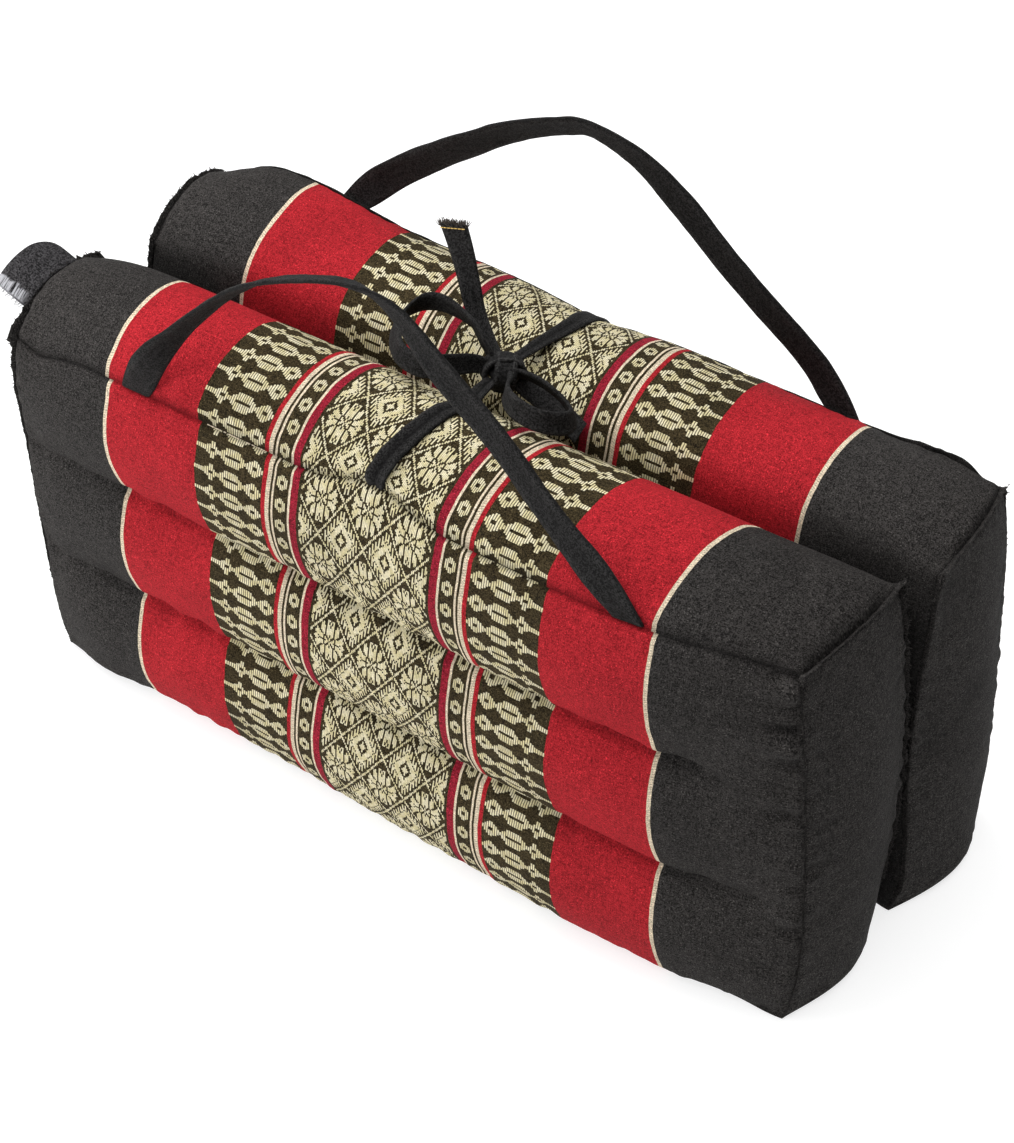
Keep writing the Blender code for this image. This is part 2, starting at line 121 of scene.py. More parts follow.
# Each panel's kind, and the point of the unit cube from a place on its grid.
PANELS = {
    "outer": (FACE, lambda s, t: (s, 1, t)),
    "inner": (FACE, lambda s, t: (s, 0, t)),
    "top": (STRIP, lambda s, t: (s, t, 1)),
    "foot": (STRIP, lambda s, t: (s, t, 0)),
    "left": (END, lambda s, t: (0, s, t)),
    "right": (END, lambda s, t: (1, s, t)),
}
OUTER, INNER, TOP, FOOT, LEFT, RIGHT = range(6)
# Waves of the cloth to a metre: lumps of filling, small lumps, gathers at the seams and the channels, creases at the
# right end seam and under the straps' feet, and puckers in a seam.
LUMPS, SMALL_LUMPS, GATHERS, CHANNEL_GATHERS, CREASES, FOOT_CREASES, PUCKERS = 22, 60, 150, 90, 105, 230, 260
# How far each reaches from its seam, channel or foot in m.
GATHER_REACH, CHANNEL_REACH, CREASE_REACH, FOOT_REACH, CHANNEL_WIDTH = 0.0085, 0.009, 0.013, 0.016, 0.0022
# Ridge of the seam allowance under the cloth: its height in mm, and its place and width in m.
RIDGE = (0.4, 0.0034, 0.002)
# Where the motif rows are measured round a block, and in how many steps.
ARC_PLACE, ARC_STEPS = 0.36, 300
# How far the inner top edge is rounded over, across and down in m, and in how many rounds.
TURN_ACROSS, TURN_DOWN, TURN_ROUNDS = 0.014, 0.02, 30
# Height in mm of the seam allowance that stands along the far outer top seam, by the place along the block.
TOP_FIN = (
    (0, 1.4), (0.12, 2.3), (0.24, 2), (0.3, 1.5), (0.8, 1.5), (0.86, 2.2), (0.92, 3.8), (0.97, 2.6), (1, 0.9),
)

# Straps and tapes.
STRAP_WIDTH = 0.015
STRAP_THICK = 0.002
TAPE_WIDTH = 0.01
TAPE_THICK = 0.0022
CLEAR = 0.0003
ROOT_SHARE = 0.1
KNOT_RADII = Vector((0.0085, 0.0068, 0.0062))
KNOT_PLACE = Vector((0.006, 0.004, 0.2135))
HANDLE_FEET = {"near": (-0.131, 0.123), "far": (-0.124, 0.127)}
# Every route in mm: the middle of the strap or tape, then the way that its width points there.
HANDLE_ROUTE = {
    "near": (
        (-120, -72.5, 215, 0.7, 0.4, -0.5), (-107, -68, 234, 0.3, 0.82, -0.48),
        (-90, -64, 254, 0.16, 0.9, -0.38), (-70, -61, 271, 0.14, 0.9, -0.36), (-46, -59, 283, 0.08, 0.9, -0.4),
        (-22, -58, 290, -0.05, 0.8, -0.55), (0, -58.5, 286, -0.4, 0.3, -0.8), (23, -61, 269, -0.7, 0, -0.6),
        (54, -65, 247, -0.7, 0, -0.7), (83, -70, 224, -0.8, 0, -0.6), (106.5, -76, 211.5, -0.9, -0.1, -0.35),
    ),
    "far": (
        (-112.6, 80.5, 212.8, 0.9, 0.1, -0.4), (-95.4, 80.5, 228.6, 0.7, 0.2, -0.7),
        (-64.8, 80, 252.2, 0.4, 0.4, -0.8), (-41, 80, 269.5, 0.3, 0.5, -0.8), (-16, 80, 282, 0.1, 0.5, -0.8),
        (0, 80, 286.5, -0.1, 0.4, -0.8), (23.5, 80, 280.6, -0.4, 0.2, -0.8), (42, 80, 267.5, -0.6, 0, -0.7),
        (62, 80, 249.7, -0.7, 0, -0.7), (83, 80, 232.5, -0.7, 0, -0.7), (109, 80.5, 209.5, -0.9, 0, -0.5),
    ),
}
TIE_FEET = {"near": -0.004, "far": 0.006}
# Place along X in mm, share of the way over the crown from the inner seam, and height over the cloth in mm.
TIE_OVER = {
    "near": ((-3.8, 0.975, 1.1), (-3.4, 0.93, 1.5), (-2.4, 0.8, 1.7), (0, 0.6, 1.6), (1.4, 0.4, 1.6),
             (3.5, 0.22, 2)),
    "far": ((6, 0.975, 0.5), (6, 0.93, 0.7), (6, 0.86, 0.9), (6, 0.75, 1), (6.2, 0.62, 1.1)),
}
LOOP_LEFT = (
    (3, 4, 216, -0.3, -0.3, 1), (-5, 6, 222.5, 0.3, -0.3, 0.9), (-13, 9.5, 227, 0.3, -0.4, 0.9),
    (-26, 13, 227.5, 0.1, 0, 1), (-35, 12.5, 227, 0.1, 0.1, 1), (-41, 8, 225, 0.3, 0, 1),
    (-43.5, 0, 223, 0.5, 0.1, 1), (-40, -9, 222, 0.4, 0.4, 1), (-30, -19, 223.5, 0.1, 0.4, 1),
    (-17, -21.5, 224.5, -0.1, 0.3, 1), (-9, -13, 222.5, -0.3, 0.1, 1), (-4, -3, 218.5, -0.3, 0.1, 1),
    (2, 2, 215, -0.3, 0.1, 1),
)
LOOP_RIGHT = (
    (9, 4, 214.5, 0, -0.3, 1), (17, 4, 216.5, 0, -0.4, 1), (28, 2, 217.5, 0, -0.4, 1),
    (39, -1.5, 217, 0.1, -0.4, 1), (48, -7.5, 217.5, -0.2, -0.1, 1), (49, -15.5, 220, -0.3, 0.3, 1),
    (41, -21.5, 222.5, 0, 0.4, 1), (29, -20.5, 223, 0, 0.4, 1), (19, -13, 220, 0.1, 0.3, 1),
    (14, -4, 216.5, 0.2, 0.1, 1), (9, 2, 214.5, 0.2, 0.1, 1),
)
TAIL_UP = (
    (3.5, 6, 213.5, 0.6, 0.7, 0), (-7.8, 12.3, 218, 0.7, 0.6, 0), (-17.8, 18.6, 224.5, 0.8, 0.5, 0.1),
    (-24.5, 23.8, 234.5, 0.9, 0.3, 0.2), (-31.2, 28.4, 244.5, 0.9, 0.1, 0.3), (-38, 32.5, 253, 0.9, 0, 0.3),
)
TAIL_VALLEY = (
    (9, 4.5, 212.5, 0, 1, 0.3), (17, 5.5, 208, 0.1, 1, 0.3), (27, 6, 204.5, 0, 1, 0.3),
    (36, 5.5, 200.5, 0, 1, 0.3), (43, 5, 196.5, 0, 1, 0.4),
)
# Share of the full width, by the place along the tape.
TAIL_TAPER = ((0, 0.6), (0.3, 0.75), (0.65, 1), (1, 1.45))
LOOP_TAPER = ((0, 0.6), (0.25, 0.85), (0.5, 1), (0.82, 1), (1, 0.7))
# Thickness and middle groove in m, and the taper.
TIE_SHAPE = {
    "near": (0.0019, 0.0008, ((0, 0.85), (0.12, 0.98), (0.75, 1), (1, 0.55))),
    "far": (0.0012, 0.0004, ((0, 1.1), (0.4, 1), (1, 0.5))),
}
HINGE_REACH = 0.165
HINGE_SAG = 0.0015
HINGE_THICK = 0.0011
LABEL_SPAN = (0.23, 0.8)
LABEL_REACH = 0.018
LABEL_THICK = 0.0016
LABEL_LIFT = radians(22)

# The woven bands, from either end of the cloth in mm: where each colour starts.
WIDE_BANDS = ((0, "black"), (58.4, "cream"), (60.3, "red"), (109.4, "ground"))
FINE_BANDS = (
    (144, "ground"), (145.6, "red"), (147.8, "cream"), (149.9, "ground"), (150.95, "cream"), (152.05, "ground"),
    (159.8, "cream"), (160.95, "inner_red"), (164.7, "ground"),
)
# Spans of the two tables, and where the second takes over from the first.
WIDE_SPAN = (50, 120)
FINE_SPAN = (144, 168)
FINE_START = 130
# Where the motifs lie, and the lines that are a twill.
BAND_SPAN = (109.4, 145.6)
RING_START = 148
RING_SPAN = (152.05, 159.8)
MIDDLE_START = 166.1
CREAM_LINES = ((58.4, 60.3), (147.8, 149.9))
# One turn of the pattern around the block in mm, and the rows of motifs in it.
TURN = 31.5
BAND_ROWS = 3
BAND_PITCH = 36.2 / 32
# Bars of a row motif in the wide dark band, from the red to the fine stripes: how far from the row's axis in mm
# each bar starts and ends.
BAND_BARS = (
    # stem
    (0, 0.9), (0, 0.9), (0, 1), (0, 1), (0, 1.1),
    # small flower and its join
    (0, 1.8), (0, 2.2), (0.7, 3.8), (0.7, 3.8), (0, 1.8), (0, 0.9), (0, 0.9),
    # barrel
    (0, 1.9), (0, 2.4), (0.6, 3.7), (0.6, 3.9), (0.6, 3.9), (0.6, 3.9), (0.6, 3.9), (0.6, 3.9), (0.6, 3.7),
    (0, 2.4), (0, 1.9), (0, 0.8),
    # large flower
    (0, 1.4), (0, 2.4), (0, 2.9), (0.8, 3.7), (0.8, 3.7), (0, 2.9), (0, 2), (0, 0.9),
)
# Ring flower of the narrow band, the same way, from its middle outward.
RING_BARS = ((0.9, 3.4), (0, 2.6), (0, 2), (9, 9), (9, 9))
RING_PITCH = 0.92
BAR_REACH = 10
# Star of the middle: a quarter, axis row first, middle column first.
STAR_CHART = (
    ".##.....####.",
    "#.##.###.##..",
    "#..#.#####...",
    ".#...######..",
    ".##.#..####..",
    "###.##..##...",
    "###.###..#...",
    "###.###......",
    "###.###......",
    ".##.###......",
    ".##..##......",
    "#.#..#.......",
    "#.#..........",
    ".##..........",
)
# Half of the middle's repeat in columns and rows, and its cell.
CENTRE_HALF = (16, 21)
CENTRE_CELL = (23.5 / 32, TURN / 42)
DIAMOND_RINGS = ((0, 52), (98, 182), (200, 224))
TEETH = (224, 286)
LATTICE_LINE = (320, 348)
# A row of a chart is kept in two numbers of this many bits.
HALF_BITS = 16
BIT_RANGE = 65536
# How far the pattern is pushed along each panel in mm at its left and right ends.
JOG = {("near", "top"): (3, 1), ("near", "inner"): (3, 1), ("far", "top"): (6, 5), ("far", "inner"): (6, 5)}
# How far the motif rows lie from the top seam in mm: on each roll of a face from the top one, and on the strip.
ROW_SHIFT = {"rolls": (-9.3, 4.7, 22.2), "top": -6.2}
# Pitches of the weave in mm.
THREAD_PITCH = (0.42, 0.46)
TWILL_PITCH = 1.15
RIB_PITCH = 0.55
BUMP_DEPTH = 0.0004

COLOURS = {
    "black": (0.03, 0.0276, 0.0262),
    "cream": (0.66, 0.555, 0.41),
    "red": (0.34, 0.0155, 0.0215),
    "inner_red": (0.25, 0.0135, 0.027),
    "ground": (0.037, 0.0275, 0.013),
    "float": (0.7, 0.62, 0.36),
    "pale_float": (0.81, 0.74, 0.52),
    "tape": (0.0158, 0.0152, 0.015),
    "tag": (0.04, 0.038, 0.04),
    "worn": (0.5, 0.5, 0.53),
    "brown": (0.035, 0.022, 0.014),
    "amber": (0.62, 0.4, 0.1),
    "grey": (0.45, 0.45, 0.47),
}
# Name, kind, place, angle or size, and power.
LAMPS = (
    ("sky", "SUN", (-0.14, 0, 1), 1.4, 3.45),
    ("top_left", "AREA", (-0.8, 0.25, 1.5), 1, 12),
    ("key", "AREA", (-0.7, -0.72, 0.3), 0.45, 5.8),
)


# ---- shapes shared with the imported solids


def between(table, place):
    """Read a value from rows of place and value, with a straight line between rows."""
    for (start, low), (end, high) in zip(table, table[1:]):
        if place <= end:
            return low + (high - low) * (place - start) / (end - start)
    return table[-1][1]


def smooth(low, high, value):
    """Go from 0 at low to 1 at high without a corner; low may be the greater."""
    share = min(1, max(0, (value - low) / (high - low)))
    return share * share * (3 - 2 * share)


def bell(value, middle, width):
    """1 in the middle, falling off over the width to either side."""
    return exp(-(((value - middle) / width) ** 2))


def wave_at(x, y, z):
    """Smooth noise of about -1 to 1 at a place."""
    return noise.noise(Vector((x, y, z)))


def jitter_at(x, y, z):
    """The same as a vector."""
    return Vector(noise.noise_vector(Vector((x, y, z))))


def keep_sign(value, power):
    """A power of a value's size, with the value's sign."""
    return copysign(abs(value) ** power, value)


def fullness(along):
    """How full the filling is: 1 over most of the length, 0 at the end seams."""
    return max(0, 1 - abs(2 * along - 1) ** 7) ** 0.6


def roll_bulge(up):
    """Profile of the rolls on a face: full in the middle of a roll, 0 at the channels and seams."""
    return abs(sin(ROLLS * pi * up)) ** ROLL_SHARPNESS


def block_shift(block, x, along, outward, up):
    """How far leaning, sewing and ties move a block's skin in mm: along X, outward and along Z."""
    places = (along, outward, up)
    shift = Vector()
    for names, *move in LEAN[block]:
        weight = 1
        for here, name in zip(places, names):
            weight *= here if name in HIGH_ENDS else 1 - here
        shift += Vector(move) * weight
    corner = end_share(along) ** 2 * abs(2 * up - 1) ** 6 * abs(2 * outward - 1) ** 2
    for names, *move in CORNERS[block]:
        if corner > 0 and all((here > 0.5) == (name in HIGH_ENDS) for here, name in zip(places, names)):
            shift += Vector(move) * corner
    seam = outward ** 4 * up ** 6
    # The lower corners of the right end are drawn in.
    at_right = smooth(0.88, 1, along)
    low = (1 - up) ** 3 * at_right
    if block == "far":
        inner = (1 - outward) ** 2 * at_right
        shift.x += inner * (7 * (1 - up) ** 3 - 5 * sin(pi * up)) - 3 * outward * low
        shift.y -= inner * 6.5 * (1 - up) ** 0.7
        # The tie draws the seam down; the left shoulder is full, and the top sinks to the right of it.
        shift.z -= 5 * bell(x, TIE_FEET[block], 0.027) * seam
        shift.z += 4 * bell(along, 0.1, 0.1) * smooth(0, 0.05, along) * outward ** 1.5 * up ** 3
        shift.z -= 3.5 * outward ** 2 * up ** 3 * smooth(0.13, 0.28, along) * smooth(0.97, 0.86, along)
    else:
        shift.x -= 6 * (1 - outward) ** 0.7 * low
        shift += TIE_PULL * bell(x, TIE_FEET[block], TIE_PULL_REACH) * outward ** 8 * up ** 6
        # The left corner stands up at the top and is full at the bottom.
        run = along * LENGTH / MM
        shift.z += (8 * bell(run, 0, 10) - 2 * bell(run, 27, 16)) * seam
        shift.y += 4 * bell(run, 30, 20) * (outward * (1 - up)) ** 4
    return shift


def end_share(along):
    """1 at the ends of a block, 0 from a little way inside."""
    return smooth(END_REACH, 0, min(along, 1 - along))


def block_point(block, along, outward, up):
    """Place of a point of the unit cube's skin on a filled block: left to right, inner to outer, bottom to top."""
    side = SIDE[block]
    full = fullness(along)
    x = -LENGTH / 2 + side * END_SHIFT / 2 + along * LENGTH
    z = BOTTOM_SEAM_Z + up * (TOP_SEAM_Z - BOTTOM_SEAM_Z)
    bow = between(FACE_BOW[block], along) * MM
    y = VALLEY_GAP / 2 + outward * THICKNESS + bow * (INNER_BOW + (1 - INNER_BOW) * outward)
    end = (block, "left" if along < 0.5 else "right")
    if outward == 1:
        bulge = roll_bulge(up)
        if block == "near":
            for level, start, stop in CHANNEL_ENDS:
                bulge += (0.86 - bulge) * 0.92 * smooth(start, stop, along) * bell(up, level, 0.075)
        y += OUTER_ROLL * bulge * full
    if outward == 0:
        y -= (INNER_ROLL * roll_bulge(up) + INNER_BOW * bow) * full
    if up == 1:
        spread = 1 - (2 * outward - 1) ** 2
        z += CROWN[block] * spread ** CROWN_ROUNDNESS * (END_CROWN[end] + (1 - END_CROWN[end]) * full)
    if up == 0:
        rim = smooth(0, FOOT_EDGE, min(outward, 1 - outward))
        z -= BOTTOM_SEAM_Z * rim * smooth(0, FOOT_END, min(along, 1 - along))
    belly = copysign(END_BELLY, along - 0.5) * sin(pi * outward)
    if along in (0, 1):
        lift = sin(pi * up) ** END_ROUNDNESS
        x += belly * (lift if up >= 0.5 else FOOT_BELLY + (1 - FOOT_BELLY) * lift)
    elif up == 0:
        x += belly * FOOT_BELLY * end_share(along)
    x += copysign(END_EDGE_BOW[end], along - 0.5) * sin(pi * up) * end_share(along)
    shift = block_shift(block, x, along, outward, up) * MM
    return Vector((x + shift.x, CENTRE_Y + side * (y + shift.y), max(z + shift.z, 0))) + TO_MIDDLE


def block_share(block, x):
    """Share of a block's length at a place along X, before the shift to the middle."""
    return (x + LENGTH / 2 - SIDE[block] * END_SHIFT / 2) / LENGTH


def seam_point(block, x):
    """Place on the outer top seam, before the shift to the middle."""
    return block_point(block, block_share(block, x), 1, 1) - TO_MIDDLE


def over_crown(block, x, outward, lift):
    """A point above a block's top strip, at a height square to the cloth, before the shift to the middle."""
    along = block_share(block, x)
    step = 0.004
    slope = block_point(block, along, min(outward + step, 1), 1) - block_point(block, along, outward - step, 1)
    square = Vector((0, -slope.z, slope.y)).normalized()
    if square.z < 0:
        square.negate()
    return block_point(block, along, outward, 1) + square * lift - TO_MIDDLE


def curve_point(rows, share):
    """A smooth curve through the rows: its point and the way the width points, at a share of its length."""
    spans = len(rows) - 1
    index = min(int(share * spans), spans - 1)
    t = share * spans - index
    picks = [rows[min(max(index + step, 0), spans)] for step in (-1, 0, 1, 2)]
    values = []
    for before, start, end, after in zip(*picks):
        slope = 0.5 * (end - before)
        bend = before - 2.5 * start + 2 * end - 0.5 * after
        twist = 0.5 * (after - before) + 1.5 * (start - end)
        values.append(start + slope * t + bend * t * t + twist * t ** 3)
    return Vector(values[:3]) * MM, Vector(values[3:])


# ---- materials


class Value:
    """A node's output; sums and comparisons with it add math nodes."""

    def __init__(self, sums, socket):
        self.sums = sums
        self.socket = socket

    def to(self, operation, *others):
        return self.sums.math(operation, self, *others)

    def __rsub__(self, other):
        return self.sums.math("SUBTRACT", other, self)

    def __rtruediv__(self, other):
        return self.sums.math("DIVIDE", other, self)


for sign, operation in {
    "add": "ADD", "sub": "SUBTRACT", "mul": "MULTIPLY", "truediv": "DIVIDE", "gt": "GREATER_THAN", "lt": "LESS_THAN",
}.items():
    setattr(Value, f"__{sign}__", partialmethod(Value.to, operation))


class Sums:
    """Adds nodes to a tree, one call for each."""

    def __init__(self, tree):
        self.tree = tree

    def feed(self, node, values):
        """Set or link a node's inputs, by name or number."""
        for key, value in values.items():
            socket = node.inputs[key]
            if isinstance(value, Value):
                self.tree.links.new(value.socket, socket)
            else:
                socket.default_value = (*value, 1) if socket.type == "RGBA" else value

    def node(self, kind, values, *wanted, **settings):
        """A new node: the wanted outputs, or the first."""
        made = self.tree.nodes.new(kind)
        for key, value in settings.items():
            setattr(made, key, value)
        self.feed(made, values)
        outputs = [Value(self, made.outputs[key]) for key in wanted or (0,)]
        return outputs if len(outputs) > 1 else outputs[0]

    def math(self, operation, *values):
        return self.node("ShaderNodeMath", dict(enumerate(values)), operation=operation)

    def clamp(self, value):
        return self.node("ShaderNodeClamp", {0: value})

    def band(self, value, low, high):
        """1 where the value lies between low and high, else 0."""
        return (value > low) * (value < high)

    def mix(self, share, first, second):
        return self.node("ShaderNodeMix", {0: share, 6: first, 7: second}, 2, data_type="RGBA")

    def mix_value(self, share, first, second):
        return self.node("ShaderNodeMix", {0: share, 2: first, 3: second}, data_type="FLOAT")

    def scale(self, colour, factor):
        return self.node("ShaderNodeVectorMath", {0: colour, "Scale": factor}, operation="SCALE")

    def noise(self, vector, scale, detail=2, roughness=0.5):
        values = {"Vector": vector, "Scale": scale, "Detail": detail, "Roughness": roughness}
        return self.node("ShaderNodeTexNoise", values)

    def slubs(self, x, y):
        """Streaks of thick and thin thread."""
        return self.noise(self.vector(x, y), 1, 3, 0.7)

    def crossings(self, x, y, size):
        """A random value for each crossing of threads on a cloth, from 0 to 1."""
        spots = [(value / size).to("FLOOR") for value in (x, y)]
        return self.node("ShaderNodeTexWhiteNoise", {"Vector": self.vector(*spots)}, "Value", noise_dimensions="2D")

    def threads(self, value, pitch):
        """A wave from -1 to 1 with a pitch in mm."""
        return (value * (tau / pitch)).to("SINE")

    def vector(self, x, y):
        return self.node("ShaderNodeCombineXYZ", {0: x, 1: y})

    def attribute(self, name):
        return self.node("ShaderNodeAttribute", {}, "Fac", attribute_name=name)

    def cloth_place(self):
        """Both places on the flat cloth in mm."""
        flat = self.node("ShaderNodeUVMap", {}, uv_map="OFBake")
        return [value * (1 / MM) for value in self.node("ShaderNodeSeparateXYZ", {0: flat}, 0, 1)]

    def bump(self, relief, strength):
        return self.node("ShaderNodeBump", {"Strength": strength, "Distance": BUMP_DEPTH, "Height": relief})

    def steps(self, value, rows):
        """A constant ramp over the places from 0 to 1, as rows of place and colour."""
        made = self.tree.nodes.new("ShaderNodeValToRGB")
        made.color_ramp.interpolation = "CONSTANT"
        stops = made.color_ramp.elements
        while len(stops) < len(rows):
            stops.new(0.5)
        for stop, (place, _) in zip(stops, rows):
            stop.position = place
        for stop, (_, colour) in zip(sorted(stops, key=lambda one: one.position), rows):
            stop.color = (*colour, 1)
        self.feed(made, {0: value})
        return Value(self, made.outputs[0])

    def stripes(self, table, place, low, high):
        """The colours of a table of stripes, between two places in mm."""
        rows = [(max(0, (start - low) / (high - low)), COLOURS[name]) for start, name in table]
        return self.steps((place - low) / (high - low), rows)

    def pairs(self, table, index):
        """Both numbers of a row of a table, from 0 to 1, at a whole number on a socket."""
        stops = [(number / len(table), (first, second, 0)) for number, (first, second) in enumerate(table)]
        return self.node("ShaderNodeSeparateColor", {0: self.steps((index + 0.5) / len(table), stops)}, 0, 1)

    def bars(self, table, column, distance):
        """1 inside the bars of a motif, at a whole column and a distance from the axis in mm."""
        low, high = self.pairs([(start / BAR_REACH, end / BAR_REACH) for start, end in table], column)
        return self.band(distance, low * BAR_REACH - 0.01, high * BAR_REACH)

    def chart(self, rows, column, row):
        """1 where a chart has a mark at a column and row, which are whole numbers on sockets."""
        # A row's marks are the bits of two numbers, one for each half of the row.
        def code_of(half):
            return sum(2 ** bit for bit, mark in enumerate(half) if mark == "#") / BIT_RANGE

        low, high = self.pairs([(code_of(text[:HALF_BITS]), code_of(text[HALF_BITS:])) for text in rows], row)
        later = column > HALF_BITS - 0.5
        code = (low * (1 - later) + high * later) * BIT_RANGE
        shifted = (code + 0.25) / self.math("POWER", 2, column - later * HALF_BITS)
        return shifted.to("FLOOR").to("MODULO", 2) > 0.5


def centre_rows():
    """Quarter chart of the middle: star, lattice line, and diamond of rings and teeth."""
    half_columns, half_rows = CENTRE_HALF
    whole = 2 * half_columns * half_rows
    rows = []
    for row in range(half_rows + 1):
        text = ""
        for column in range(half_columns + 1):
            # How far the place lies from the star, and from the diamond's middle.
            reach = half_rows * column + half_columns * row
            back = whole - reach
            mark = any(low <= back < high for low, high in DIAMOND_RINGS)
            if LATTICE_LINE[0] <= reach < LATTICE_LINE[1]:
                mark = True
            elif TEETH[0] <= back < TEETH[1]:
                mark = column % 2 == 1
            elif row < len(STAR_CHART) and column < len(STAR_CHART[0]):
                mark = STAR_CHART[row][column] == "#"
            text += "#" if mark else "."
        rows.append(text)
    return rows


def cloth_group():
    """The woven cloth of the blocks: colour, relief and share of plain weave, from places on the cloth in mm."""
    tree = bpy.data.node_groups.new("woven_bands", "ShaderNodeTree")
    for name, way, kind in (
        ("Along", "INPUT", "Float"), ("Around", "INPUT", "Float"),
        ("Colour", "OUTPUT", "Color"), ("Relief", "OUTPUT", "Float"), ("Plain", "OUTPUT", "Float"),
    ):
        tree.interface.new_socket(name, in_out=way, socket_type="NodeSocket" + kind)
    sums = Sums(tree)
    along, around = sums.node("NodeGroupInput", {}, 0, 1)
    place = sums.vector(along, around)
    # The threads don't run quite straight.
    wander = (sums.noise(place, 0.35, 1) - 0.5) * 0.22
    sway = (sums.noise(place, 0.06) - 0.5) * 1.1
    steady = along + (sway + wander)
    around_wobble = around + wander
    from_end = steady.to("MINIMUM", LENGTH / MM - steady)
    wide = sums.stripes(WIDE_BANDS, from_end, *WIDE_SPAN)
    fine = sums.stripes(FINE_BANDS, from_end, *FINE_SPAN)
    base = sums.mix(from_end > FINE_START, wide, fine)

    # Rows of motifs: bars across each row's axis.
    pitch = TURN / BAND_ROWS
    from_axis = ((around_wobble / pitch + 0.5).to("FRACT") - 0.5).to("ABSOLUTE") * pitch
    band_place = (from_end - BAND_SPAN[0]) / BAND_PITCH
    band_column = band_place.to("FLOOR").to("MAXIMUM", 0).to("MINIMUM", len(BAND_BARS) - 1)
    band_mark = sums.bars(BAND_BARS, band_column, from_axis) * sums.band(from_end, *BAND_SPAN)
    ring_place = (from_end - sum(RING_SPAN) / 2) / RING_PITCH
    ring_column = ring_place.to("ABSOLUTE").to("FLOOR").to("MINIMUM", len(RING_BARS) - 1)
    ring_mark = sums.bars(RING_BARS, ring_column, from_axis) * sums.band(from_end, *RING_SPAN)

    # The middle: its quarter chart, mirrored both ways.
    in_middle = from_end > MIDDLE_START
    mid_place = (steady - LENGTH / MM / 2) / CENTRE_CELL[0] + 0.5
    fold_column = mid_place.to("FLOOR").to("ABSOLUTE").to("PINGPONG", CENTRE_HALF[0])
    mid_row = (around_wobble / CENTRE_CELL[1] + 0.5).to("FLOOR")
    fold_row = mid_row.to("ABSOLUTE").to("PINGPONG", CENTRE_HALF[1])
    mid_mark = sums.chart(centre_rows(), fold_column, fold_row) * in_middle
    marks = band_mark.to("MAXIMUM", ring_mark).to("MAXIMUM", mid_mark)

    # Each float is a rounded bar: dark gaps between columns.
    in_ring = (from_end > RING_START) * (1 - in_middle)
    cell_place = sums.mix_value(in_middle, sums.mix_value(in_ring, band_place, ring_place), mid_place)
    # The whole number only keeps the places above 0.
    across = ((cell_place + 300).to("FRACT") - 0.5).to("ABSOLUTE")
    dip = sums.clamp((across - 0.2) * 4.5) * (in_middle * -0.46 + 0.92)
    floats = marks * (1 - dip)

    # Threads of the ground weave, and slubs.
    weave = sums.threads(along, THREAD_PITCH[0]) * sums.threads(around, THREAD_PITCH[1])
    slub_along = sums.slubs(along * 0.1, around * 2.2)
    slub_around = sums.slubs(along * 2.2, around * 0.1)
    fleck = sums.crossings(along, around, THREAD_PITCH[0])
    grain = weave * 0.1
    for source, amount in (
        (slub_along, 2.3), (slub_around, 1.9), (fleck, 1.9), (sums.noise(place, 0.8, 1), 0.3)
    ):
        grain += (source - 0.5) * amount
    grain += (fleck > 0.985) * 1.5
    # Dark cloth shows its flecks more than bright cloth.
    brightness = sums.node("ShaderNodeSeparateColor", {0: base})
    tone = grain * (1 / (brightness * 3 + 1)) + 1
    tone += (sums.noise(place, 0.018, 3) - 0.5) * 0.35
    # The cream lines are a twill.
    in_twill = sums.band(from_end, *CREAM_LINES[0]) + sums.band(from_end, *CREAM_LINES[1])
    twill = (along * 2.2 + around * (tau / TWILL_PITCH)).to("SINE").to("MAXIMUM", 0)
    tone = (tone - twill * in_twill * 0.3).to("MAXIMUM", 0.25)
    hue = sums.clamp(sums.noise(place, 0.22) * 5 - 2)
    bright = sums.scale(sums.mix(hue, COLOURS["float"], COLOURS["pale_float"]), (fleck - 0.5) * 0.35 + 1)
    colour = sums.mix(floats, sums.scale(base, tone), bright)
    relief = floats * 0.8 + weave * 0.16 + slub_along * 0.5 + slub_around * 0.5
    sums.feed(tree.nodes.new("NodeGroupOutput"), {0: colour, 1: relief, 2: 1 - floats})
    return tree


def new_material(name):
    """A material, its sums and its shader."""
    made = bpy.data.materials.new(name)
    made.use_nodes = True
    return made, Sums(made.node_tree), made.node_tree.nodes["Principled BSDF"]


def cloth_material(name, group):
    """Cloth of the blocks, from the woven bands, with painted shade that darkens seams and hollows."""
    cloth, sums, shader = new_material(name)
    along, around = sums.cloth_place()
    colour, relief, plain = sums.node("ShaderNodeGroup", {0: along, 1: around}, 0, 1, 2, node_tree=group)
    sums.feed(shader, {
        # The base colour is darkened by the painted shade of seams, channels, hollows and the valley.
        "Base Color": sums.scale(colour, sums.attribute("painted_shade") * -0.8 + 1),
        "Roughness": plain * 0.22 + 0.62,
        "Specular IOR Level": 0.06,
        "Sheen Weight": 0.008,
        "Sheen Roughness": 0.5,
        "Normal": sums.bump(relief, 0.7),
    })
    return cloth


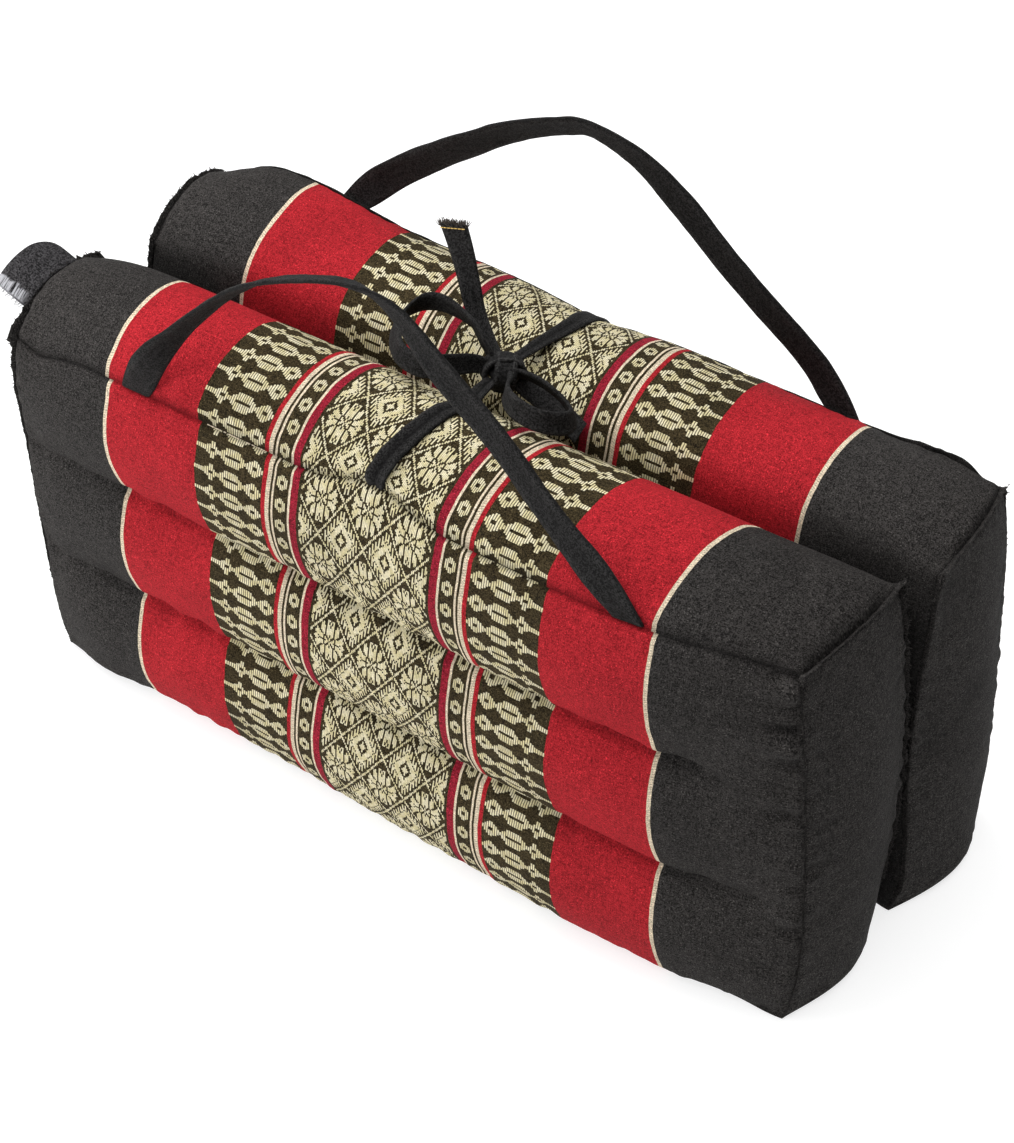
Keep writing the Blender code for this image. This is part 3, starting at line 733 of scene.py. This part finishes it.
def tape_material(name, colour):
    """Black cloth tape: lengthwise ribs, cross threads, lint, painted highlight along its ridges and painted shade in
    its groove, and a pale worn end on the tag.
    """
    tape_cloth, sums, shader = new_material(name)
    across, along = sums.cloth_place()
    weave = sums.threads(across, RIB_PITCH) * sums.threads(along, 0.5)
    streak = sums.slubs(across * 1.8, along * 0.08)
    lint = sums.crossings(across, along, RIB_PITCH)
    tone = weave * 0.16 + 1
    for source, amount in ((streak, 1.9), (lint, 1.9), (sums.noise(sums.vector(across, along), 0.05, 3), 0.8)):
        tone += (source - 0.5) * amount
    # Painted highlight and shade from the ridge attribute: lighter along the ridges, darker in the groove.
    tone = tone.to("MAXIMUM", 0.3) * (sums.attribute("ridge") + 1)
    hatch = sums.noise(sums.vector(across * 0.12, along * 1.5), 1)
    pale = sums.attribute("pale") * sums.clamp(hatch * 6 - 2.3)
    sums.feed(shader, {
        "Base Color": sums.mix(sums.clamp(pale), sums.scale(colour, tone), COLOURS["worn"]),
        "Roughness": 0.82,
        "Specular IOR Level": 0.1,
        "Sheen Weight": 0.02,
        "Sheen Roughness": 0.45,
        "Normal": sums.bump(weave * 0.25 + (streak + lint * 0.5), 0.6),
    })
    return tape_cloth


def thread_material(name, colour):
    """Loose threads: one colour with a little change from thread to thread."""
    thread, sums, shader = new_material(name)
    place = sums.node("ShaderNodeTexCoord", {}, "Object")
    colour = sums.scale(colour, sums.noise(place, 700) * 0.9 + 0.55)
    sums.feed(shader, {"Base Color": colour, "Roughness": 0.8, "Sheen Weight": 0.2})
    return thread


# ---- meshes and pieces


def grid(columns, rows):
    """A grid over the unit square with a UV layer, and its vertices' places."""
    sheet = bmesh.new()
    bmesh.ops.create_grid(sheet, x_segments=columns, y_segments=rows, size=0.5)
    bmesh.ops.translate(sheet, verts=sheet.verts, vec=(0.5, 0.5, 0))
    sheet.verts.index_update()
    sheet.loops.layers.uv.new("OFBake")
    spots = [tuple(min(1, max(0, round(value, 6))) for value in vert.co.xy) for vert in sheet.verts]
    return sheet, spots


def lay_flat(sheet, spots, flat_place):
    """Give a grid's UV map from a function of the places on the unit square."""
    uv = sheet.loops.layers.uv.active
    for face in sheet.faces:
        for loop in face.loops:
            loop[uv].uv = flat_place(*spots[loop.vert.index])


def close_ring(sheet):
    """Close a rolled-up grid along its seam and at both ends."""
    bmesh.ops.remove_doubles(sheet, verts=sheet.verts, dist=0.000005)
    bmesh.ops.holes_fill(sheet, edges=[edge for edge in sheet.edges if edge.is_boundary], sides=0)
    bmesh.ops.recalc_face_normals(sheet, faces=sheet.faces)
    for face in sheet.faces:
        face.smooth = len(face.verts) < 8


def smooth_all(made):
    """Shade every face smooth."""
    for face in made.faces:
        face.smooth = True


def to_mesh(made, name):
    """End a bmesh as a mesh."""
    mesh = bpy.data.meshes.new(name)
    made.to_mesh(mesh)
    made.free()
    return mesh


def append(whole, made):
    """End a bmesh as a part of another."""
    mesh = to_mesh(made, "part")
    whole.from_mesh(mesh)
    bpy.data.meshes.remove(mesh)


def to_object(made, name):
    """End a bmesh as an object of the scene."""
    piece = bpy.data.objects.new(name, to_mesh(made, name))
    bpy.context.scene.collection.objects.link(piece)
    return piece


def add_piece(made, name, cloth, node=None):
    """End a bmesh as a piece of the cushion: its cloth, its body and the node that it stands for."""
    piece = to_object(made, name)
    piece.data.materials.clear()
    piece.data.materials.append(cloth)
    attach(piece, "root")
    if node:
        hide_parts(node)
    return piece


def add_thread(whole, root, way, length, radius):
    """One loose thread end as a slim cone."""
    place = Matrix.Translation(root + way * length / 2) @ way.to_track_quat("Z", "Y").to_matrix().to_4x4()
    bmesh.ops.create_cone(
        whole, cap_ends=True, segments=4, radius1=radius, radius2=radius * 0.5, depth=length, matrix=place
    )


def arc_table(points):
    """Distance along a row of points, from the first."""
    total = [0]
    for start, end in zip(points, points[1:]):
        total.append(total[-1] + (end - start).length)
    return total


def look_up(table, share):
    """Read an even table at a share of its length."""
    place = share * (len(table) - 1)
    index = min(int(place), len(table) - 2)
    return table[index] + (table[index + 1] - table[index]) * (place - index)


# ---- blocks


def gathers(panel, seed, s, t, width, height):
    """Gathers in mm that run away from a panel's seams, with the ridge of the allowance under the cloth."""
    from_side = min(s, 1 - s) * width
    from_rim = min(t, 1 - t) * height
    # The cloth turns over the inner top edge without a seam.
    if (panel == "top" and t < 0.5) or (panel == "inner" and t > 0.5):
        from_rim = height
    amount = 0
    for distance, run in ((from_rim, s * width), (from_side, t * height)):
        near_seam = smooth(0, 0.0015, distance) * exp(-distance / GATHER_REACH)
        amount += near_seam * wave_at(run * GATHERS, distance * 25, seed + 5) * (2.2 if panel == "right" else 1.3)
        amount += RIDGE[0] * bell(distance, *RIDGE[1:])
    return amount


def relief(block, panel, s, t, place):
    """How far the cloth stands off its plain form in mm: lumps of filling, creases and gathers at the seams."""
    seed = 3 if block == "near" else 11
    lumps = wave_at(place.x * LUMPS, place.y * LUMPS + seed, place.z * LUMPS)
    fine = wave_at(place.x * SMALL_LUMPS, place.y * SMALL_LUMPS + seed, place.z * SMALL_LUMPS)
    (_, (width, height, side_reach, rim_reach)), _ = PANELS[panel]
    edge_s = min(s, 1 - s)
    free = smooth(0, side_reach, edge_s) * smooth(0, rim_reach, min(t, 1 - t))
    amount = (lumps * 0.9 + fine * 0.35) * free + gathers(panel, seed, s, t, width, height)
    if block == "near" and panel == "outer":
        # Creases at the right end seam, and where the strap pulls.
        to_right = (1 - s) * width
        folds = wave_at(t * height * CREASES, s * 9, 6) * (4.4 + 3 * smooth(0.7, 1, t))
        amount += folds * exp(-to_right / CREASE_REACH) * smooth(0, 0.002, to_right)
        for foot in HANDLE_FEET[block]:
            pull = bell(place.x - TO_MIDDLE.x, foot, 0.019) * exp(-(1 - t) * height / FOOT_REACH)
            amount += 1.5 * pull * wave_at(place.x * FOOT_CREASES, t * 6, 4) * smooth(0, 0.01, 1 - t)
    if panel in ("outer", "inner") and 0.5 < t * ROLLS < ROLLS - 0.5:
        channel = round(t * ROLLS)
        away = abs(t * ROLLS - channel) / ROLLS * height
        gather = wave_at(s * LENGTH * CHANNEL_GATHERS, channel * 3, seed) * exp(-away / CHANNEL_REACH)
        amount += 1.4 * gather * smooth(0, 0.02, edge_s)
        amount -= 1.3 * bell(away, 0, CHANNEL_WIDTH) * smooth(0, 0.17, edge_s)
    return amount


def flat_panel(block, panel, arcs, roll, s, t):
    """Place on the flat cloth of a point of a panel, on one of its rolls, in metres."""
    left, right = JOG.get((block, panel), (0, 0))
    u = s * LENGTH + (left + (right - left) * s) * MM
    outer, top, inner = arcs
    if panel == "outer":
        return u, look_up(outer, 1 - t) + ROW_SHIFT["rolls"][roll] * MM
    if panel == "inner":
        return u, -top[-1] - look_up(inner, 1 - t) + ROW_SHIFT["top"] * MM
    if panel == "top":
        return u, -look_up(top, 1 - t) + ROW_SHIFT["top"] * MM
    if panel == "foot":
        return u, outer[-1] + (1 - t) * THICKNESS
    # The ends are cut from the black field.
    return -0.1 + s * THICKNESS, t * 0.2


def panel_sheet(block, panel, arcs):
    """One panel of a block's cloth with its relief."""
    (steps, _), place_of = PANELS[panel]
    sheet, spots = grid(*steps)
    uv = sheet.loops.layers.uv.active
    shade_layer = sheet.verts.layers.float.new("painted_shade")
    for face in sheet.faces:
        middle = sum(spots[vert.index][1] for vert in face.verts) / 4
        roll = ROLLS - 1 - min(int(middle * ROLLS), ROLLS - 1)
        for loop in face.loops:
            loop[uv].uv = flat_panel(block, panel, arcs, roll, *spots[loop.vert.index])
    for vert, spot in zip(sheet.verts, spots):
        vert.co = block_point(block, *place_of(*spot))
    sheet.normal_update()
    middle = sum((vert.co for vert in sheet.verts), Vector()) / len(sheet.verts)
    normal = sum((face.normal for face in sheet.faces), Vector())
    if normal.dot(middle - block_point(block, 0.5, 0.5, 0.5)) < 0:
        bmesh.ops.reverse_faces(sheet, faces=sheet.faces)
        sheet.normal_update()
    for vert, (s, t) in zip(sheet.verts, spots):
        if panel != "foot" and 0 < s < 1 and 0 < t < 1:
            amount = relief(block, panel, s, t, vert.co)
            # Painted shade: the hollows of the relief are darkened in the cloth's colour.
            vert[shade_layer] = 0.5 * smooth(0.1, 1.3, -amount)
            vert.co += vert.normal * amount * MM
        vert.co.z = max(vert.co.z, 0)
    return sheet


def cover(block):
    """The cloth of one block: its panels joined along the seams, which sink in and carry painted shade, and the seam
    allowances.
    """
    whole = bmesh.new()
    whole.loops.layers.uv.new("OFBake")
    shade_layer = whole.verts.layers.float.new("painted_shade")
    # The motif rows follow the cloth round the block at one place along it.
    ways = (lambda share: (1, 1 - share), lambda share: (1 - share, 1), lambda share: (0, 1 - share))
    shares = [k / ARC_STEPS for k in range(ARC_STEPS + 1)]
    arcs = [arc_table([block_point(block, ARC_PLACE, *way(share)) for share in shares]) for way in ways]
    ends = [0]
    for panel in PANELS:
        append(whole, panel_sheet(block, panel, arcs))
        ends.append(len(whole.faces))
    kind = whole.faces.layers.int.new("panel")
    whole.faces.ensure_lookup_table()
    for number, (start, end) in enumerate(zip(ends, ends[1:])):
        for index in range(start, end):
            whole.faces[index][kind] = number
    bmesh.ops.remove_doubles(whole, verts=whole.verts, dist=0.00002)

    def panels_at(part):
        return {face[kind] for face in part.link_faces}

    def at_seam(kinds):
        return len(kinds) > 1 and kinds != {INNER, TOP}

    for edge in whole.edges:
        if at_seam(panels_at(edge)):
            edge.smooth = False
    whole.normal_update()
    sunk = []
    for vert in whole.verts:
        kinds = panels_at(vert)
        if at_seam(kinds):
            depth = (0.4 if kinds & {LEFT, RIGHT} else 0.9) + 0.5 * noise.noise(vert.co * PUCKERS)
            if FOOT not in kinds:
                sunk.append((vert, vert.normal * depth * MM))
            # Painted shade along the seams, less at the outer right end seam.
            vert[shade_layer] = 0.3 if kinds == {OUTER, RIGHT} else 0.65
        elif kinds <= {OUTER, INNER}:
            share = (vert.co.z - BOTTOM_SEAM_Z) / (TOP_SEAM_Z - BOTTOM_SEAM_Z) * ROLLS
            if 0.5 < share < ROLLS - 0.5:
                # Painted shade along the channels.
                away = abs(share - round(share)) / ROLLS * 0.19
                depth = 0.35 * bell(away, 0, CHANNEL_WIDTH) * smooth(0, 0.07, LENGTH / 2 - abs(vert.co.x))
                vert[shade_layer] = max(vert[shade_layer] * 0.6, depth)
            # Painted shade on the inner face, deeper down in the valley between the blocks.
            if kinds == {INNER}:
                vert[shade_layer] = max(vert[shade_layer], 0.8 * smooth(TOP_SEAM_Z, TOP_SEAM_Z - 0.04, vert.co.z))
    for vert, move in sunk:
        vert.co -= move
        vert.co.z = max(vert.co.z, 0)
    # The inner top edge is rounded over.
    edge = block_point(block, 0.5, 0, 1)
    turn_over = [
        vert for vert in whole.verts
        if panels_at(vert) <= {INNER, TOP} and abs(vert.co.y - edge.y) < TURN_ACROSS and vert.co.z > edge.z - TURN_DOWN
    ]
    for _ in range(TURN_ROUNDS):
        bmesh.ops.smooth_vert(whole, verts=turn_over, factor=0.5, use_axis_x=True, use_axis_y=True, use_axis_z=True)
    add_fins(whole, block)
    smooth_all(whole)
    return whole


def add_fins(whole, block):
    """The seam allowances of a block that stand up: round both ends, and along the far outer top seam."""
    side = SIDE[block]
    for end in (0, 1):
        out = 2 * end - 1
        ear = 0.2 if (block, end) == ("far", 0) else 1.6
        lines = []
        for k in range(121):
            tall = 0.9 if end == 1 else 1.2 + 1.4 * smooth(72, 108, k)
            tall += ear * bell(k, 120, 4)
            lines.append((block_point(block, end, 1, k / 120), Vector((out, side * 0.5, 0)), tall))
        for k in range(1, 41):
            tall = 3.1 + ear * bell(k, 0, 4) + 1.2 * bell(k, 40, 4)
            lines.append((block_point(block, end, 1 - k / 40, 1), Vector((out, 0, 1)), tall))
        for k in range(1, 121):
            tall = 2.5 + bell(k, 0, 4)
            lines.append((block_point(block, end, 0, 1 - k / 120), Vector((out, -side * 0.2, 0)), tall))
        seed = 20 + end * 7 + (3 if block == "near" else 0)
        # Painted shade on the fins, less at the right end.
        add_fin(whole, lines, seed, Vector((-out * 0.3, side * 0.8, 0.5)), dark=0.6 - 0.5 * end)
    if block == "far":
        lines = []
        for share in (k / 300 for k in range(2, 299, 2)):
            way = Vector((0, side * 0.35, 0.95))
            lines.append((block_point(block, share, 0.97, 1), way, between(TOP_FIN, share)))
        add_fin(whole, lines, 71, Vector((0, side, -0.4)), fray=0)


def add_fin(whole, lines, seed, cross, fray=1, dark=0.6):
    """One raised, wavy seam allowance along places with a way out and a height in mm, with frayed threads, darkened by
    painted shade.
    """
    steps = len(lines) - 1
    strip, spots = grid(steps, 3)
    shade_layer = strip.verts.layers.float.new("painted_shade")
    lay_flat(strip, spots, lambda s, t: (-0.02 + t * 0.004, s * 0.5))
    tips = []
    for vert, (s, t) in zip(strip.verts, spots):
        # Painted shade: the whole fin is darkened by the dark amount.
        vert[shade_layer] = dark
        index = round(s * steps)
        point, way, tall = lines[index]
        way = way.normalized()
        height = tall * (1 + 0.35 * wave_at(index * 0.11, seed, 0))
        height += tall * (0.1 + 0.3 * fray) * wave_at(index * 0.8, seed + 2, 0)
        ease = smooth(0, 0.04, index / steps) * smooth(0, 0.04, 1 - index / steps)
        height *= 0.25 + 0.75 * ease
        sway = (0.4 + 0.4 * tall) * t * wave_at(index * 0.23, seed + 4, 0)
        vert.co = point + (way * (height * t - 0.7) + cross * sway) * MM
        vert.co.z = max(vert.co.z, 0.0013)
        if t > 0.99 and fray > 0:
            tips.append((vert.co.copy(), way, index, min(1, tall / 2.4)))
    bmesh.ops.solidify(strip, geom=strip.faces[:], thickness=0.0009)
    bmesh.ops.recalc_face_normals(strip, faces=strip.faces)
    for tip, way, index, share in tips:
        for turn in range(3):
            pick = wave_at(index * 1.7, seed + turn, 9)
            lean = jitter_at(index * 2.3, seed + turn * 3, 1)
            root = tip - way * (0.5 + 0.9 * turn) * MM + lean * 0.9 * MM
            length = (0.7 + 1.8 * abs(pick)) * share * MM
            add_thread(strip, root, (way + lean * 1.3).normalized(), length, 0.00026)
    append(whole, strip)


# ---- tapes


def rim_height(angle, power):
    """How high a flat ring's skin lies at a turn: 1 and -1 on its faces, 0 at its rims."""
    rise = sin(angle)
    return keep_sign(rise, power) if abs(rise) > 1e-6 else 0


def tape(rows, width, thick, steps, seed, ridge=0.00025, cup=0.0006, ring=28, taper=((0, 1), (1, 1)), groove=0):
    """A flat folded tape along a route and its length: round edges, a ridge near each, a groove in the middle, with
    painted highlight along the ridges and painted shade in the groove.
    """
    sheet, spots = grid(steps, ring)
    painted_light = sheet.verts.layers.float.new("ridge")
    run = arc_table([curve_point(rows, k / steps)[0] for k in range(steps + 1)])

    def flat_place(share, turn):
        across = keep_sign(cos(tau * turn), 0.75) * width / 2
        return across + (0.03 if turn > 0.5 else 0), look_up(run, share)

    lay_flat(sheet, spots, flat_place)
    half = 0.5 / steps
    for vert, (share, turn) in zip(sheet.verts, spots):
        middle, way = curve_point(rows, share)
        ahead = curve_point(rows, min(1, share + half))[0] - curve_point(rows, max(0, share - half))[0]
        ahead.normalize()
        way.normalize()
        to_end = min(share, 1 - share)
        way = (way - ahead * way.dot(ahead) * smooth(0, ROOT_SHARE, to_end)).normalized()
        face = ahead.cross(way).normalized()
        angle = tau * turn
        across = keep_sign(cos(angle), 0.75)
        over = rim_height(angle, 0.5)
        place = look_up(run, share)
        wide = width / 2 * (1 + 0.05 * wave_at(place * 70, seed, copysign(2, across)))
        raised = bell(abs(across), 0.74, 0.17)
        fold = bell(across, -0.12 * wave_at(place * 60, seed, 7), 0.16)
        # Painted highlight along the ridges and painted shade in the groove, kept in the ridge attribute.
        vert[painted_light] = min(1, ridge / 0.0006) * (0.95 * raised - 0.35) - 0.55 * fold * min(1, groove / 0.0006)
        height = thick / 2 * over + copysign(ridge, over) * raised * abs(over) - groove * fold * over
        height += thick * 0.16 * wave_at(place * 160, across * 2.2, seed + copysign(1, over)) * abs(over)
        curl = 2 * cup * across * across * wave_at(place * 22, seed, 5) * smooth(0, 0.08, to_end)
        vert.co = middle + way * across * wide * between(taper, share) + face * (height + curl) + TO_MIDDLE
    close_ring(sheet)
    return sheet, run[-1]


def tape_piece(name, node, cloth, held, rests_on, rows, width, *sizes, **shape):
    """A tape as a piece of the cushion."""
    sheet, length = tape(rows, width, *sizes, **shape)
    piece = add_piece(sheet, name, cloth, node)


def row_of(point, way):
    """A route's row from a point in metres and the way the width points there."""
    return (*(point / MM), *way)


def seam_foot(block, x, thick):
    """Where a strap is tucked into the outer top seam, before the shift to the middle."""
    return seam_point(block, x) + Vector((0, -SIDE[block] * 0.2 * thick, CLEAR))


def handle(block, cloth):
    """A carry strap, both feet in the outer top seam."""
    left, right = (seam_foot(block, x, STRAP_THICK) for x in HANDLE_FEET[block])
    rows = (row_of(left, (1, 0, 0)), *HANDLE_ROUTE[block], row_of(right, (-1, 0, -0.1)))
    tape_piece(
        "carry_strap_" + block, "handle_" + block, cloth, "hung", ["cover_" + block],
        rows, STRAP_WIDTH, STRAP_THICK, 200, 4 if block == "near" else 14,
    )


def tie(block, cloth):
    """A tape from the outer top seam over the crown to the knot."""
    side = SIDE[block]
    points = [seam_foot(block, TIE_FEET[block], TAPE_THICK)]
    points += [over_crown(block, x * MM, outward, lift * MM) for x, outward, lift in TIE_OVER[block]]
    end = KNOT_PLACE + Vector((-5 * CLEAR, side * KNOT_RADII.y, 0))
    if block == "far":
        # The tape runs straight from the cloth to the knot.
        points += [points[-1].lerp(end, share) for share in (0.25, 0.5, 0.75)]
    thick, groove, taper = TIE_SHAPE[block]
    tape_piece(
        "tie_tape_" + block, "tie_" + block, cloth, "stretched", ["cover_" + block],
        [row_of(point, (1, 0, 0)) for point in (*points, end)], TAPE_WIDTH, thick, 110, 6 + side,
        ridge=0.0003, taper=taper, groove=groove,
    )


def on_knot(point):
    """Scale a point of the unit ball to the knot's radii."""
    return Vector(a * b for a, b in zip(point, KNOT_RADII))


def knot():
    """The knot: a lumpy core with two turns of tape drawn round it."""
    core = bmesh.new()
    core.loops.layers.uv.new("OFBake")
    bmesh.ops.create_uvsphere(core, u_segments=32, v_segments=20, radius=1, calc_uvs=False)
    for vert in core.verts:
        lump = 1 + 0.1 * noise.noise(vert.co * 2.1)
        vert.co = on_knot(vert.co * lump * 0.86) + KNOT_PLACE + TO_MIDDLE
    for number, (tilt, bend, width) in enumerate(((0.5, 0.15, 0.0095), (-0.75, -0.2, 0.0085))):
        turn = Matrix.Rotation(tilt, 3, "Z") @ Matrix.Rotation(bend, 3, "Y")
        rows = []
        for k in range(19):
            angle = tau * k / 16 - 2.2
            out = turn @ Vector((0, cos(angle), sin(angle)))
            # Each turn lies over the one before it, and its end over its start.
            reach = on_knot(out) * (0.94 + 0.06 * number + 0.009 * k)
            rows.append(row_of(KNOT_PLACE + reach, turn @ Vector((1, 0, 0))))
        append(core, tape(rows, width, 0.0018, 70, 31 + number, ridge=0.0005, cup=0.0002)[0])
    smooth_all(core)
    return core


def bow(cloth, amber):
    """The knot, both loops and both tails."""
    piece = add_piece(knot(), "knot_cloth", cloth, "tie_bow")
    for number, (name, rows, steps, taper) in enumerate((
        ("loop_left", LOOP_LEFT, 120, LOOP_TAPER), ("loop_right", LOOP_RIGHT, 110, LOOP_TAPER),
        ("tail_up", TAIL_UP, 70, TAIL_TAPER), ("tail_valley", TAIL_VALLEY, 50, LOOP_TAPER[:3] + ((1, 1),)),
    )):
        tape_piece(
            name, "tie_bow", cloth, "folded", ["knot_cloth"],
            rows, TAPE_WIDTH, 0.0017, steps, 40 + number, ridge=0.00022, cup=0.0009, taper=taper,
        )
    # The end of the tail that sticks up is frayed and has a row of stitches.
    end, way = curve_point(TAIL_UP, 1)
    ahead = (end - curve_point(TAIL_UP, 0.95)[0]).normalized()
    way.normalize()
    end += TO_MIDDLE
    tufts = bmesh.new()
    for k in range(150):
        spread = (k / 149 - 0.5) * TAPE_WIDTH * 1.46
        jitter = jitter_at(k * 1.3, 5, 2)
        root = end + way * spread + jitter * 0.001 - ahead * 0.001
        add_thread(tufts, root, (ahead + jitter * 1.2).normalized(), (2.2 + 2.6 * abs(jitter.x)) * MM, 0.00022)
    add_piece(tufts, "tail_fray", thread_material("brown_thread", COLOURS["brown"]))
    square = ahead.cross(way).normalized()
    if square.dot(CAMERA_AHEAD) > 0:
        square.negate()
    stitches = bmesh.new()
    for k in range(7):
        spread = ((k + 0.1) / 7 - 0.5) * TAPE_WIDTH * 1.36
        add_thread(stitches, end + way * spread - ahead * 0.0017 + square * 0.0011, way, 0.0015, 0.0003)
    add_piece(stitches, "tail_stitches", amber)


def seam_thread(block, name, start, end, cloth):
    """Thread that shows along the outer top seam between two places in m from the block's middle."""
    rows = []
    for k in range(49):
        sway = 0.8 * wave_at(k * 0.9, 3, 0)
        seam = seam_point(block, start + (end - start) * k / 48)
        seam += Vector((0, SIDE[block] * (-0.7 + 0.6 * sway), -0.75 + sway)) * MM
        rows.append(row_of(seam, (0, SIDE[block] * 0.5, 0.8)))
    sheet, _ = tape(rows, 0.0006, 0.0005, 220, 50, ridge=0, cup=0, ring=8)
    add_piece(sheet, f"seam_thread_{block}_{name}", cloth)


# ---- fold strip and tag


def hinge(cloth):
    """Strip of cloth between the inner bottom seams."""
    length = 2 * HINGE_REACH
    strip, spots = grid(110, 8)
    lay_flat(strip, spots, lambda along, across: (across * 0.012, along * length))
    for vert, (along, across) in zip(strip.verts, spots):
        x = (2 * along - 1) * HINGE_REACH
        near, far = (block_point(block, block_share(block, x), 0, 0) for block in ("near", "far"))
        near.y += CLEAR
        far.y -= CLEAR
        seam = near.lerp(far, across)
        sag = HINGE_SAG + 0.25 * MM * wave_at(along * 40, across * 3, 2)
        vert.co = Vector((x + TO_MIDDLE.x, seam.y, seam.z - CLEAR - sag * sin(pi * across)))
    area = sum(face.calc_area() for face in strip.faces)
    bmesh.ops.solidify(strip, geom=strip.faces[:], thickness=HINGE_THICK)
    bmesh.ops.recalc_face_normals(strip, faces=strip.faces)
    smooth_all(strip)
    piece = add_piece(strip, "hinge_cloth", cloth, "fold_hinge")
    max(0.0101, area / length)


def label(cloth, threads):
    """Folded tag at the left end seam of the near block, left bare."""
    tag, spots = grid(70, 32)
    pale = tag.verts.layers.float.new("pale")
    lean = Vector((-cos(LABEL_LIFT), 0, sin(LABEL_LIFT)))
    square = Vector((sin(LABEL_LIFT), 0, cos(LABEL_LIFT)))
    low, high = LABEL_SPAN

    def outness(turn):
        """0 where the tag is sewn in, 1 at its fold."""
        return 0.5 - 0.5 * cos(tau * turn)

    lay_flat(tag, spots, lambda across, turn: (
        across * 0.031, outness(turn) * LABEL_REACH + (0.05 if turn > 0.5 else 0)
    ))
    for vert, (across, turn) in zip(tag.verts, spots):
        out = outness(turn)
        over = rim_height(tau * turn, 0.4) * 0.5
        seam = block_point("near", 0, low + (high - low) * across, 1) + Vector((-0.0016, 0, 0.0012))
        corner = max(0, 0.34 - across) / 0.34
        round_off = 1 - 0.42 * (1 - sqrt(1 - corner * corner)) * out
        middle = seam + lean * (1.5 * CLEAR - 0.0012 + LABEL_REACH * out * round_off)
        sway = 0.5 * MM * wave_at(across * 2.4, out * 2, 8) * out
        worn = smooth(0.85, 0.875, across + 0.05 * wave_at(out * 9, 1, 3))
        vert[pale] = worn * smooth(0.1, 0.3, out)
        vert.co = middle + square * (over * LABEL_THICK * (1 - 0.2 * out) + sway)
    close_ring(tag)
    piece = add_piece(tag, "label_cloth", cloth, "label")
    loose = bmesh.new()
    edge = block_point("near", 0, high, 1) + lean * LABEL_REACH * 0.15
    for k in range(26):
        jitter = jitter_at(k * 1.9, 2, 7)
        root = edge + lean * LABEL_REACH * 0.7 * k / 25 + jitter * 0.0008
        way = (Vector((-0.2, -1, -0.15)) + jitter * 0.8).normalized()
        add_thread(loose, root, way, (1.6 + 2.2 * abs(jitter.y)) * MM, 0.0002)
    add_piece(loose, "label_fray", threads)


# ---- the scene


def stage():
    """Pale floor, soft light and the camera."""
    scene = bpy.context.scene
    made = bmesh.new()
    bmesh.ops.create_grid(made, x_segments=2, y_segments=2, size=6)
    floor = to_object(made, "floor")
    floor.location.z = -0.0002
    paint, sums, shader = new_material("floor_pale")
    sums.feed(shader, {
        "Base Color": (0.38, 0.38, 0.38), "Roughness": 0.9,
        "Emission Color": (1, 1, 1), "Emission Strength": 0.75,
    })
    floor.data.materials.append(paint)
    # Brighter from the left and from above than from the right.
    world = bpy.data.worlds.new("studio")
    world.use_nodes = True
    sums = Sums(world.node_tree)
    x, z = sums.node("ShaderNodeSeparateXYZ", {0: sums.node("ShaderNodeTexCoord", {}, "Generated")}, 0, 2)
    glow = sums.clamp(x * -0.75 + (z * 0.3 + 0.4))
    sums.feed(world.node_tree.nodes["Background"], {1: glow * 0.36 + 0.05})
    scene.world = world
    for name, kind, place, size, power in LAMPS:
        lamp = bpy.data.lights.new(name, kind)
        setattr(lamp, "angle" if kind == "SUN" else "size", size)
        lamp.energy = power
        light = bpy.data.objects.new(name, lamp)
        light.location = place
        light.rotation_euler = (Vector((0, 0, 0.1)) - Vector(place)).to_track_quat("-Z", "Y").to_euler()
        scene.collection.objects.link(light)
    camera = bpy.data.objects.new("camera", bpy.data.cameras.new("camera"))
    scene.collection.objects.link(camera)
    turn = Matrix((CAMERA_RIGHT.normalized(), -CAMERA_DOWN.normalized(), -CAMERA_AHEAD.normalized())).transposed()
    camera.matrix_world = Matrix.Translation(CAMERA_PLACE) @ turn.to_4x4()
    camera.data.lens = CAMERA_LENS
    camera.data.sensor_width = 36
    camera.data.sensor_fit = "AUTO"
    scene.camera = camera
    scene.view_settings.view_transform = "Standard"


def build():
    """Make every piece."""
    stage()
    cloth = cloth_material("woven_cloth", cloth_group())
    black = tape_material("black_tape", COLOURS["tape"])
    for block in ("near", "far"):
        piece = add_piece(cover(block), "cover_" + block, cloth, "block_" + block)
    seam_thread("near", "left", -0.092, -0.06, thread_material("cream_thread", COLOURS["cream"]))
    for block in ("near", "far"):
        handle(block, black)
        tie(block, black)
    bow(black, thread_material("amber_thread", COLOURS["amber"]))
    hinge(black)
    label(tape_material("tag_cloth", COLOURS["tag"]), thread_material("grey_thread", COLOURS["grey"]))


build()
